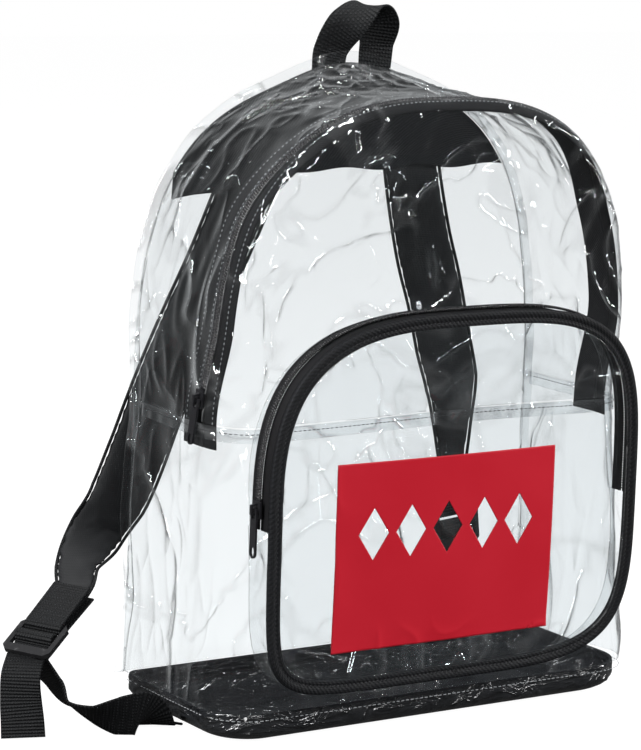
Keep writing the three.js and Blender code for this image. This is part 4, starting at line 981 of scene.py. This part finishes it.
# Binding: a strip of black cloth folded over the edge of the pocket's front and sewn down,
# which leaves a rounded outer rib, a groove along the stitches and a thinner inner lip.
binding_cloth = cloth("binding_cloth", (0.007, 0.0075, 0.009), 900, 0.0003, 0.55)
binding_shares = np.linspace(0, 1, 421)[:-1]
binding_at = pocket_point(binding_shares, 0, pocket_y)
binding_across = unit(pocket_point(binding_shares, 1 * mm, pocket_y) - binding_at)
binding_up = np.tile((0.0, -1.0, 0.0), (len(binding_at), 1))
rib = [(0.5 - 0.5 * math.cos(t), 0.5 * math.sin(t)) for t in np.linspace(0.15, 0.85, 6) * math.pi]
binding_top = [(0.02, 0.2)] + [(0.04 + 0.5 * a, 0.25 + 0.5 * b) for a, b in rib]
binding_top += [(0.6, 0.3), (0.66, 0.27), (0.74, 0.38), (0.93, 0.38), (1, 0.25)]
binding_foot = [(1, -0.25), (0.9, -0.33), (0.3, -0.5), (0.05, -0.3)]
binding_section = np.array([(a * binding_width, b * binding_wall) for a, b in binding_top + binding_foot])
swept(
    "pocket_edge_binding", binding_at, binding_across, binding_up, binding_section,
    binding_cloth, "cloth", ring=True, replaces=["pocket_binding"],
)
groove_shares = np.linspace(0, 1, 900)
groove = pocket_point(groove_shares, binding_width * 0.63, pocket_y - binding_wall * 0.3)
groove_out = np.tile((0.0, -1.0, 0.0), (len(groove), 1))
row_of("binding_stitches", groove, groove_out, 2.9 * mm, short_stitch, black_thread, "cloth")


def pocket_face_y(x, z):
    """Depth of the pocket's domed front."""
    across = np.clip(np.abs(x - pocket_centre_x) / pocket_half, 0, 1)
    rise = np.clip(np.abs(z - pocket_centre_z) / pocket_rise, 0, 1)
    return pocket_y - binding_wall * 0.2 - pocket_dome * (1 - across**2) * (1 - rise**2)


def pocket_face_creases(x, z):
    """Height of the pocket front's own soft creases, none under the print."""
    across, rise = np.abs(x - pocket_centre_x) / pocket_half, np.abs(z - pocket_centre_z) / pocket_rise
    edge = np.maximum(across, rise)
    return smooth(edge, 0.55, 0.75) * (1 - smooth(edge, 0.85, 0.92))


face_rows = np.concatenate([np.linspace(0, 0.6, 46), np.linspace(0.6, 0.985, 18)[1:]])
face_u, face_v = np.meshgrid(binding_shares, face_rows)
face_edge = pocket_point(face_u, binding_width + layer_gap - 0.4 * mm, 0)
face_x = pocket_centre_x + (1 - face_v) * (face_edge[..., 0] - pocket_centre_x)
face_z = pocket_centre_z + (1 - face_v) * (face_edge[..., 2] - pocket_centre_z)
face_points = np.stack([face_x, pocket_face_y(face_x, face_z), face_z], -1)
face_normals = normals_of(face_points, pocket_middle, ring=True)
face_depth = 1.2 * mm * pocket_face_creases(face_x, face_z)
face_points = creases(face_points, face_normals, face_depth, (16, 16, 16), 2.2)
walled(
    "pocket_face", face_points, film_sheet, pocket_film, "clear",
    ring=True, inside=pocket_middle, replaces=["pocket_front"],
)

# Print: a plain field of red screen ink on the pocket's front, with a row of five open
# diamonds. The ink is a thin glossy skin that follows the film.
print_width, print_height, print_wall = 164 * mm, 118 * mm, 0.35 * mm
print_x, print_z = -14 * mm, 118 * mm
diamond_count, diamond_rise = 5, 0.12
diamond_pitch = print_width / (diamond_count + 1)
diamond_half = diamond_pitch * 0.4


def ink(name):
    """Red ink with uneven cover, a soft sheen and the film's own ripples."""
    f = Finish(name)
    cover = f.noise(f.place(), 16, 4)
    grain = f.noise(f.place(), 900, 1)
    tint = f.tint(cover, (0.5, 0.006, 0.018), (0.62, 0.012, 0.03))
    bump = f.bump(cover + grain * 0.02, 0.25, 0.002)
    roughness = cover * 0.2 + 0.3
    return f.close(f.gloss(Base_Color=tint, Roughness=roughness, Specular_IOR_Level=0.35, Normal=bump))


ink_x, ink_z = np.meshgrid(
    print_x + np.linspace(-0.5, 0.5, 150) * print_width,
    print_z + np.linspace(-0.5, 0.5, 108) * print_height,
)
ink_points = np.stack([ink_x, pocket_face_y(ink_x, ink_z), ink_z], -1)
ink_normals = normals_of(ink_points, pocket_middle)
ink_depth = 1.2 * mm * pocket_face_creases(ink_x, ink_z)
ink_points = creases(ink_points, ink_normals, ink_depth, (16, 16, 16), 2.2)
red_ink = ink("red_ink")
printed = walled(
    "print", ink_points, print_wall, red_ink, "print",
    inset=-print_wall - 0.3 * mm, inside=pocket_middle, replaces=["print_patch"],
)
cutters = bmesh.new()
for i in range(1, diamond_count + 1):
    centre_x = print_x - print_width / 2 + diamond_pitch * i
    centre_z = print_z + print_height * diamond_rise
    corners = [(-1, 0), (0, -1.5), (1, 0), (0, 1.5)]
    outline = [(centre_x + a * diamond_half, centre_z + b * diamond_half) for a, b in corners]
    rings = [
        [cutters.verts.new((x, y, z)) for x, z in outline]
        for y in (pocket_y - 20 * mm, pocket_y + 10 * mm)
    ]
    cutters.faces.new(rings[0])
    cutters.faces.new(rings[1][::-1])
    for k in range(4):
        cutters.faces.new((rings[0][k], rings[1][k], rings[1][(k + 1) % 4], rings[0][(k + 1) % 4]))
bmesh.ops.recalc_face_normals(cutters, faces=cutters.faces)
cutter_mesh = bpy.data.meshes.new("diamond_cutters")
cutters.to_mesh(cutter_mesh)
cutters.free()
cutter = bpy.data.objects.new("diamond_cutters", cutter_mesh)
scene.collection.objects.link(cutter)
cut = printed.modifiers.new("diamonds", "BOOLEAN")
cut.object = cutter
cut.solver = "EXACT"
settle(printed)
bpy.data.objects.remove(cutter)

# Base: a shallow tray of thick glossy black vinyl, rolled under along its lower edge. The
# shell stands in it and is sewn through its rim.
vinyl_wall = 2 * mm
base_edge_inset, base_edge_rise = 20 * mm, 12 * mm


def vinyl(name):
    f = Finish(name)
    long = f.node("ShaderNodeMapping", {}, {"Vector": f.place(), "Scale": (1, 1, 3)})
    folds = f.noise(long, 26, 3, distortion=1.2)
    leather = {"Vector": f.place(), "Scale": 900}
    grain = f.node("ShaderNodeTexVoronoi", {"feature": "DISTANCE_TO_EDGE"}, leather)
    ridge = 1 - abs(folds * 2 - 1)
    bump = f.bump(ridge**6 * 1.2 + folds + grain * 0.03, 0.55, 0.005)
    return f.close(
        f.gloss(
            Base_Color=(0.014, 0.015, 0.017, 1),
            Roughness=folds * 0.12 + 0.13,
            Coat_Weight=0.6,
            Coat_Roughness=0.06,
            Normal=bump,
        )
    )


def tray_outline(inset, z, count=420):
    """The bag's outline at a height, moved inwards, from the middle of the back to the left."""
    wide = float(side_x(z)) - inset
    corner = base_corner_radius - inset * 0.5
    front, rear, rear_corner = float(face_y(z)) + inset, back_y - inset, 10 * mm
    bends = [
        (-wide + rear_corner, rear - rear_corner, rear_corner, 90),
        (-wide + corner, front + corner, corner, 180),
        (wide - corner, front + corner, corner, 270),
        (wide - rear_corner, rear - rear_corner, rear_corner, 0),
    ]
    line = [(0, rear)]
    for centre_x, centre_y, radius, start in bends:
        for turn in np.radians(np.linspace(start, start + 90, 16)):
            line.append((centre_x + radius * math.cos(turn), centre_y + radius * math.sin(turn)))
    line = np.array(line + [(0, rear)])
    run = run_along(line)
    even = np.linspace(0, run[-1], count + 1)[:-1]
    x, y = (np.interp(even, run, line[:, axis]) for axis in (0, 1))
    return np.stack([x, y, np.full(count, z)], -1)


tray_rows = []
for size in (0.004, 0.3, 0.6, 0.85):
    row = tray_outline(base_edge_inset, 0)
    row[:, :2] *= size
    tray_rows.append(row)
for turn in np.linspace(0, math.pi / 2, 12):
    inset, rise = base_edge_inset * (1 - math.sin(turn)), base_edge_rise * (1 - math.cos(turn))
    tray_rows.append(tray_outline(inset, rise))
for z in np.linspace(base_edge_rise, base_height, 7)[1:]:
    tray_rows.append(tray_outline(0.0, z))
tray_points = np.array(tray_rows)
tray_middle = np.array((0, 0, 60 * mm))
tray_z = tray_points[..., 2]
free = smooth(tray_z, 3 * mm, 7 * mm) * (1 - smooth(tray_z, 17 * mm, 20 * mm))
tray_normals = normals_of(tray_points, tray_middle, ring=True)
tray_points = creases(tray_points, tray_normals, 1.1 * mm * free, (40, 40, 60), 6.2)
base_vinyl = vinyl("base_vinyl")
walled(
    "base", tray_points, vinyl_wall, base_vinyl, "vinyl",
    ring=True, inside=tray_middle, replaces=["base_tray"],
)
rim_u = np.linspace(0.01, 0.99, 1200)
rim_grid = soften(wrap_point(*np.meshgrid(rim_u, np.array((15.0, 16.0, 17.0)) * mm)))
rim_out = normals_of(rim_grid, middle)[1]
rim_line = rim_grid[1] + rim_out * 0.5 * mm
row_of("base_stitches", rim_line, rim_out, 3.6 * mm, stitch, grey_thread, "vinyl")

# Loop handle: a length of black polyester webbing in a twill, folded over into a loop and
# sewn to the yoke at both feet with a box of stitches.
webbing_wall, webbing_width = 1.6 * mm, 28 * mm


def webbing(name, rib, slant):
    """Black webbing on a UV map in metres, U across and V along: ribs, and a slanted twill."""
    f = Finish(name)
    place = f.place("UV")
    ribs = f.waves(place, "Y", band / rib)
    twill = f.waves(f.turned(place, slant), "X", band / rib)
    cords = f.waves(place, "X", band / rib)
    lint = f.noise(place, 60, 4)
    bump = f.bump(ribs * 0.8 + twill * ribs * 0.6 + cords * 0.3, 0.9, 0.0006)
    knot = (ribs * twill * cords).above(0.45, 0.4)
    tint = f.tint(knot * 0.8 + lint * 0.12, (0.0022, 0.0025, 0.003), (0.03, 0.032, 0.035))
    roughness = lint * 0.15 + 0.6
    return f.close(f.gloss(Base_Color=tint, Roughness=roughness, Specular_IOR_Level=0.2, Normal=bump))


def across_of(turn, tip):
    """Direction across a strip from its heading and slope in degrees."""
    heading, slope = math.radians(turn), math.radians(tip)
    level = math.cos(slope)
    return np.array((math.cos(heading) * level, -math.sin(heading) * level, math.sin(slope)))


def spline_at(points, share):
    """A point of a smooth curve through the points, an equal share to each span."""
    spans = len(points) - 1
    span = min(int(share * spans + 1e-9), spans - 1)
    t = share * spans - span
    a, b = points[span], points[span + 1]
    before = points[span - 1] if span else 2 * a - b
    after = points[span + 2] if span + 2 <= spans else 2 * b - a
    gap_a, gap, gap_b = (math.sqrt(max(np.linalg.norm(p), 1e-9)) for p in (a - before, b - a, after - b))
    leave = ((a - before) / gap_a - (b - before) / (gap_a + gap) + (b - a) / gap) * gap
    arrive = ((b - a) / gap - (after - a) / (gap + gap_b) + (after - b) / gap_b) * gap
    bent, twice_bent = 3 * (b - a) - 2 * leave - arrive, 2 * (a - b) + leave + arrive
    return a + leave * t + bent * t**2 + twice_bent * t**3


def stations_along(points, acrosses, finer):
    """Places along a curve with the directions across and up from a strip laid along it."""
    points = np.array(points)
    spans = len(points) - 1
    rows = []
    for share in np.linspace(0, 1, spans * finer + 1):
        span = min(int(share * spans + 1e-6), spans - 1)
        ahead, behind = min(share + 1e-4, 1), max(share - 1e-4, 0)
        along = unit(spline_at(points, ahead) - spline_at(points, behind))
        across = mix(acrosses[span], acrosses[span + 1], share * spans - span)
        across = unit(across - along * np.dot(along, across))
        rows.append((spline_at(points, share), across, np.cross(along, across)))
    return tuple(np.array(part) for part in zip(*rows))


def strip_section(width, wall, corners=5):
    """Rounded section of webbing, as across and up offsets."""
    section = []
    rounding = wall * 0.4
    for side in (1, -1):
        for turn in np.radians(np.linspace(-90, 90, corners)):
            across = width / 2 - rounding + rounding * math.cos(turn)
            section.append((side * across, side * wall / 2 * math.sin(turn)))
        section.append((side * width * 0.25, side * wall / 2))
        section.append((-side * width * 0.25, side * wall / 2))
    return np.array(section)


handle_width, handle_height = 25 * mm, 53 * mm
handle_spread, handle_foot, handle_centre = 18 * mm, 14 * mm, 5.5 * mm
handle_rows = [
    {"x": -1, "out": 0, "up": 0, "down": 1, "turn": 0},
    {"x": -1, "out": 0, "up": 0, "down": 0.07, "turn": 0},
    {"x": -0.85, "out": 0.01, "up": 0.3, "down": 0, "turn": 4},
    {"x": -0.3, "out": -0.03, "up": 0.74, "down": 0, "turn": 36},
    {"x": 0.55, "out": -0.05, "up": 1, "down": 0, "turn": 60},
    {"x": 1.05, "out": -0.03, "up": 0.76, "down": 0, "turn": 40},
    {"x": 1.1, "out": 0.01, "up": 0.36, "down": 0, "turn": 6},
    {"x": 1, "out": 0, "up": 0, "down": 0.07, "turn": 0},
    {"x": 1, "out": 0, "up": 0, "down": 1, "turn": 0},
]
handle_foot_y = yoke_y + layer_gap + webbing_wall / 2
handle_foot_z = body_height + handle_lift * 0.75
handle_points = [
    np.array((
        handle_centre + row["x"] * handle_spread,
        handle_foot_y + row["out"] * depth,
        handle_foot_z + row["up"] * (handle_height - handle_lift) - row["down"] * handle_foot,
    ))
    for row in handle_rows
]
handle_at, handle_across, handle_up = stations_along(
    handle_points, [across_of(row["turn"], 0) for row in handle_rows], 14
)
twill_webbing = webbing("twill_webbing", 2.2 * mm, 45)
swept(
    "loop_handle", handle_at, handle_across, handle_up, strip_section(handle_width, webbing_wall),
    twill_webbing, "cloth", replaces=["grab_handle"],
)

# Shoulder straps: foam pads in black polyester, bound along their edges and sewn to the yoke.
# Each narrows to a tip where a loop of webbing holds a ladder buckle. The adjusting webbing is
# sewn into the base seam, runs up through the buckle and hangs down again.
pad_width, pad_wall, pad_tip, pad_tip_wall = 47 * mm, 9 * mm, -20, 4
pad_y = yoke_y + layer_gap + pad_wall * 0.25
bar_top, loop_reach = -11, 26
loop_offset = pad_tip_wall / 2 + 0.3 + 0.8
loop_route = [(pad_tip - loop_reach, -loop_offset - 1.3), (pad_tip, -loop_offset - 0.3)]
loop_route += [
    (bar_top - 1.2 + 3.1 * math.cos(turn), 3.1 * math.sin(turn))
    for turn in np.linspace(-math.pi / 2, math.pi / 2, 7)
]
loop_route += [(pad_tip, loop_offset + 0.3), (pad_tip - loop_reach, loop_offset + 1.3)]
thread_route = [
    (9, -5.4), (4, -5.3), (0, -5), (-3, -4.2), (-5.2, -2), (-5.6, 0), (-5, 2), (-3.5, 3.3),
    (-1.5, 3.6), (0.5, 2.9), (1.6, 1.4), (2, 0), (2.6, -1.2), (4.2, -2.2), (7, -2.8), (13, -2.9),
]
# Rows of x, y and z as shares of the half width, depth and height, then a heading in degrees
# and, for a pad, its width and thickness as shares, or, for webbing, its slope in degrees.
strap_forms = {
    "left": {
        "pad": [
            (-0.4, 0, 0.8855, 2, 1, 0.5), (-0.45, 0.016, 0.835, 2, 1, 0.8),
            (-0.56, 0.06, 0.7213, 0, 1, 1), (-0.65, 0.1, 0.6343, 0, 1, 1),
            (-0.745, 0.12, 0.5472, 0, 1, 1), (-0.83, 0.125, 0.4676, 0, 1, 1),
            (-0.91, 0.12, 0.393, 2, 0.98, 1), (-1, 0.1, 0.3283, 3, 0.94, 1),
            (-1.1, 0.09, 0.2786, 6, 0.82, 0.95), (-1.22, 0.01, 0.2363, 28, 0.64, 0.85),
        ],
        "buckle": (-1.552, 0.225, 0.1472),
        "down": (-0.78, -0.36, -0.51),
        "turn": 65,
        "anchor": [
            (-1.03, 0.05, 0.0033, 58, 0), (-1.09, 0, 0.005, 62, 8), (-1.15, -0.055, 0.0249, 75, 55),
            (-1.21, -0.095, 0.0343, 90, 86), (-1.3, -0.075, 0.0343, 105, 70),
            (-1.385, -0.01, 0.0363, 112, 34), (-1.45, 0.08, 0.0497, 108, 8), (-1.495, 0.155, 0.0821, 85, 0),
        ],
        "tail": [
            (-1.645, 0.15, 0.097, 60, 0), (-1.65, 0.13, 0.0597, 52, 0),
            (-1.652, 0.105, 0.0298, 46, 0), (-1.655, 0.085, 0.002, 42, 0),
        ],
    },
    "right": {
        "pad": [
            (0.36, 0, 0.8855, -2, 1, 0.5), (0.39, 0.016, 0.835, -2, 1, 0.8),
            (0.48, 0.06, 0.7213, 0, 1, 1), (0.57, 0.1, 0.6368, 0, 1, 1), (0.64, 0.12, 0.5472, 0, 1, 1),
            (0.7, 0.13, 0.4726, 0, 0.95, 1), (0.715, 0.135, 0.4079, 0, 0.75, 0.85),
        ],
        "buckle": (0.74, 0.64, 0.2189),
        "down": (0.08, -0.05, -0.995),
        "turn": 0,
        "anchor": [
            (1.045, 0.1, 0.0033, 100, 0), (1.08, 0.2, 0.0033, 80, 0), (1.11, 0.36, 0.0033, 20, 0),
            (1.07, 0.53, 0.004, -30, 0), (0.97, 0.64, 0.0149, -40, 0), (0.86, 0.67, 0.0597, -20, 0),
            (0.79, 0.66, 0.1194, -4, 0),
        ],
        "tail": [(0.75, 0.6, 0.1293, 0, 0), (0.745, 0.595, 0.0796, 0, 0), (0.74, 0.6, 0.0298, 0, 0)],
    },
}


def place_of(row):
    """A row's place in metres."""
    return np.array((row[0] * half_width, row[1] * depth, row[2] * body_height))


def pad_section(width, wall, corners=28):
    """Rounded section of a pad, as across and up offsets."""
    turn = 2 * math.pi * (np.arange(corners) + 0.5) / corners
    across = np.sign(np.cos(turn)) * np.abs(np.cos(turn)) ** 0.55
    up = np.sign(np.sin(turn)) * np.abs(np.sin(turn)) ** 0.55
    return np.stack([across * width / 2, up * wall / 2], -1)


def pad_fabric(name):
    """Black woven polyester over foam, patterned by the object's own coordinates."""
    f = Finish(name)
    place = f.place()
    warp = f.waves(place, "X", band * 800)
    weft = f.waves(place, "Z", band * 800)
    soft = f.noise(place, 34, 4)
    bump = f.bump(warp * 0.03 + weft * 0.03 + soft, 0.45, 0.003)
    tint = f.tint(warp * weft * 0.5 + soft * 0.4, (0.0022, 0.0025, 0.003), (0.012, 0.013, 0.015))
    roughness = soft * 0.2 + 0.58
    return f.close(f.gloss(Base_Color=tint, Roughness=roughness, Specular_IOR_Level=0.25, Normal=bump))


def puffed(made, voxel, cap):
    """The pad's mesh swollen by its foam, no point moved further than cap."""
    remesh = made.modifiers.new("remesh", "REMESH")
    remesh.mode = "VOXEL"
    remesh.voxel_size = voxel
    settle(made)
    rest = np.empty(len(made.data.vertices) * 3)
    made.data.vertices.foreach_get("co", rest)
    fabric = made.modifiers.new("fabric", "CLOTH")
    fabric.settings.use_pressure = True
    fabric.settings.uniform_pressure_force = 4
    fabric.settings.effector_weights.gravity = 0
    last_step = 20
    fabric.point_cache.frame_end = last_step
    for step in range(1, last_step + 1):
        scene.frame_set(step)
    swollen = made.evaluated_get(bpy.context.evaluated_depsgraph_get())
    moved = np.empty(len(rest))
    swollen.data.vertices.foreach_get("co", moved)
    made.modifiers.clear()
    scene.frame_set(1)
    rest, moved = rest.reshape(-1, 3), moved.reshape(-1, 3)
    shift = moved - rest
    size = np.linalg.norm(shift, axis=1, keepdims=True)
    shift *= np.minimum(1, cap / np.maximum(size, 1e-9))
    made.data.vertices.foreach_set("co", (rest + shift).ravel())
    made.data.polygons.foreach_set("use_smooth", [True] * len(made.data.polygons))
    finer = made.modifiers.new("finer", "SUBSURF")
    finer.levels = finer.render_levels = 1


pad_cloth = pad_fabric("pad_cloth")
strap_webbing = webbing("strap_webbing", 2 * mm, 20)
strap_edging = webbing("strap_edging", 1.2 * mm, 0)
buckle_plastic = enamel("buckle_plastic", (0.012, 0.012, 0.013), 0.3, 0.15)
for side, form in strap_forms.items():
    down = unit(np.array(form["down"]))
    buckle_across = across_of(form["turn"], 0)
    buckle_across = unit(buckle_across - down * np.dot(buckle_across, down))
    buckle_out = np.cross(down, buckle_across)
    buckle_at = place_of(form["buckle"])

    def by_buckle(row):
        return buckle_at + (down * row[0] + buckle_out * row[1]) * mm

    tip = [(0.54, 0.72), (0.52, 0.6), (0.5, pad_tip_wall * mm / pad_wall)]
    sizes = [row[4:] for row in form["pad"]] + tip
    places = [place_of(row) + np.array((0, pad_y, 0)) for row in form["pad"]]
    places += [by_buckle((along, 0)) for along in (-46, -33, pad_tip)]
    acrosses = [across_of(row[3], 0) for row in form["pad"]] + [buckle_across] * 3
    finer = 6
    pad_at, pad_across, pad_up = stations_along(places, acrosses, finer)
    spots = np.arange(len(pad_at)) / finer
    wide = np.interp(spots, range(len(sizes)), [size[0] for size in sizes]) * pad_width
    thick = np.interp(spots, range(len(sizes)), [size[1] for size in sizes]) * pad_wall
    slim = np.array([pad_section(w - 3 * mm, t - 2.2 * mm) for w, t in zip(wide, thick)])
    pad = swept(
        f"pad_{side}", pad_at, pad_across, pad_up, slim, pad_cloth, "cloth",
        replaces=[f"strap_pad_{side}"],
    )
    puffed(pad, 3 * mm, 1.1 * mm)
    turns = np.linspace(0, 2 * math.pi, 9)[:-1]
    piping = np.stack([np.cos(turns), np.sin(turns)], -1) * 1.1 * mm
    for which, name in ((-1, "inner"), (1, "outer")):
        edge = pad_at + pad_across * (which * (wide / 2 - 1.5 * mm))[:, None]
        swept(
            f"pad_{side}_piping_{name}", edge[:-3], pad_across[:-3], pad_up[:-3], piping,
            strap_edging, "cloth",
        )

    loop_at, loop_across, loop_up = stations_along(
        [by_buckle(row) for row in loop_route], [buckle_across] * len(loop_route), 5
    )
    swept(
        f"buckle_loop_{side}", loop_at, loop_across, loop_up, strip_section(webbing_width, webbing_wall),
        strap_webbing, "cloth", replaces=[f"strap_loop_{side}"],
    )
    anchor = stations_along(
        [place_of(row) for row in form["anchor"]] + [by_buckle(thread_route[0])],
        [across_of(row[3], row[4]) for row in form["anchor"]] + [buckle_across],
        12,
    )
    threaded = stations_along(
        [by_buckle(row) for row in thread_route], [buckle_across] * len(thread_route), 4
    )
    tail = stations_along(
        [by_buckle(thread_route[-1])] + [place_of(row) for row in form["tail"]],
        [buckle_across] + [across_of(row[3], row[4]) for row in form["tail"]],
        10,
    )
    web_at, web_across, web_up = (
        np.concatenate([first[:-1], second, third[1:]])
        for first, second, third in zip(anchor, threaded, tail)
    )
    lowest = (np.abs(web_across[:, 2]) * webbing_width + np.abs(web_up[:, 2]) * webbing_wall) / 2
    web_at[:, 2] = np.maximum(web_at[:, 2], lowest + layer_gap)
    swept(
        f"adjuster_{side}", web_at, web_across, web_up, strip_section(webbing_width, webbing_wall),
        strap_webbing, "cloth", replaces=[f"strap_webbing_{side}"],
    )
    dressed(f"buckle_{side}", buckle_plastic, 0.5 * mm)

# The beads were only patterns for the rows of teeth and stitches.
for shape in (main_tooth, pocket_tooth, stitch, short_stitch):
    bpy.data.objects.remove(shape)
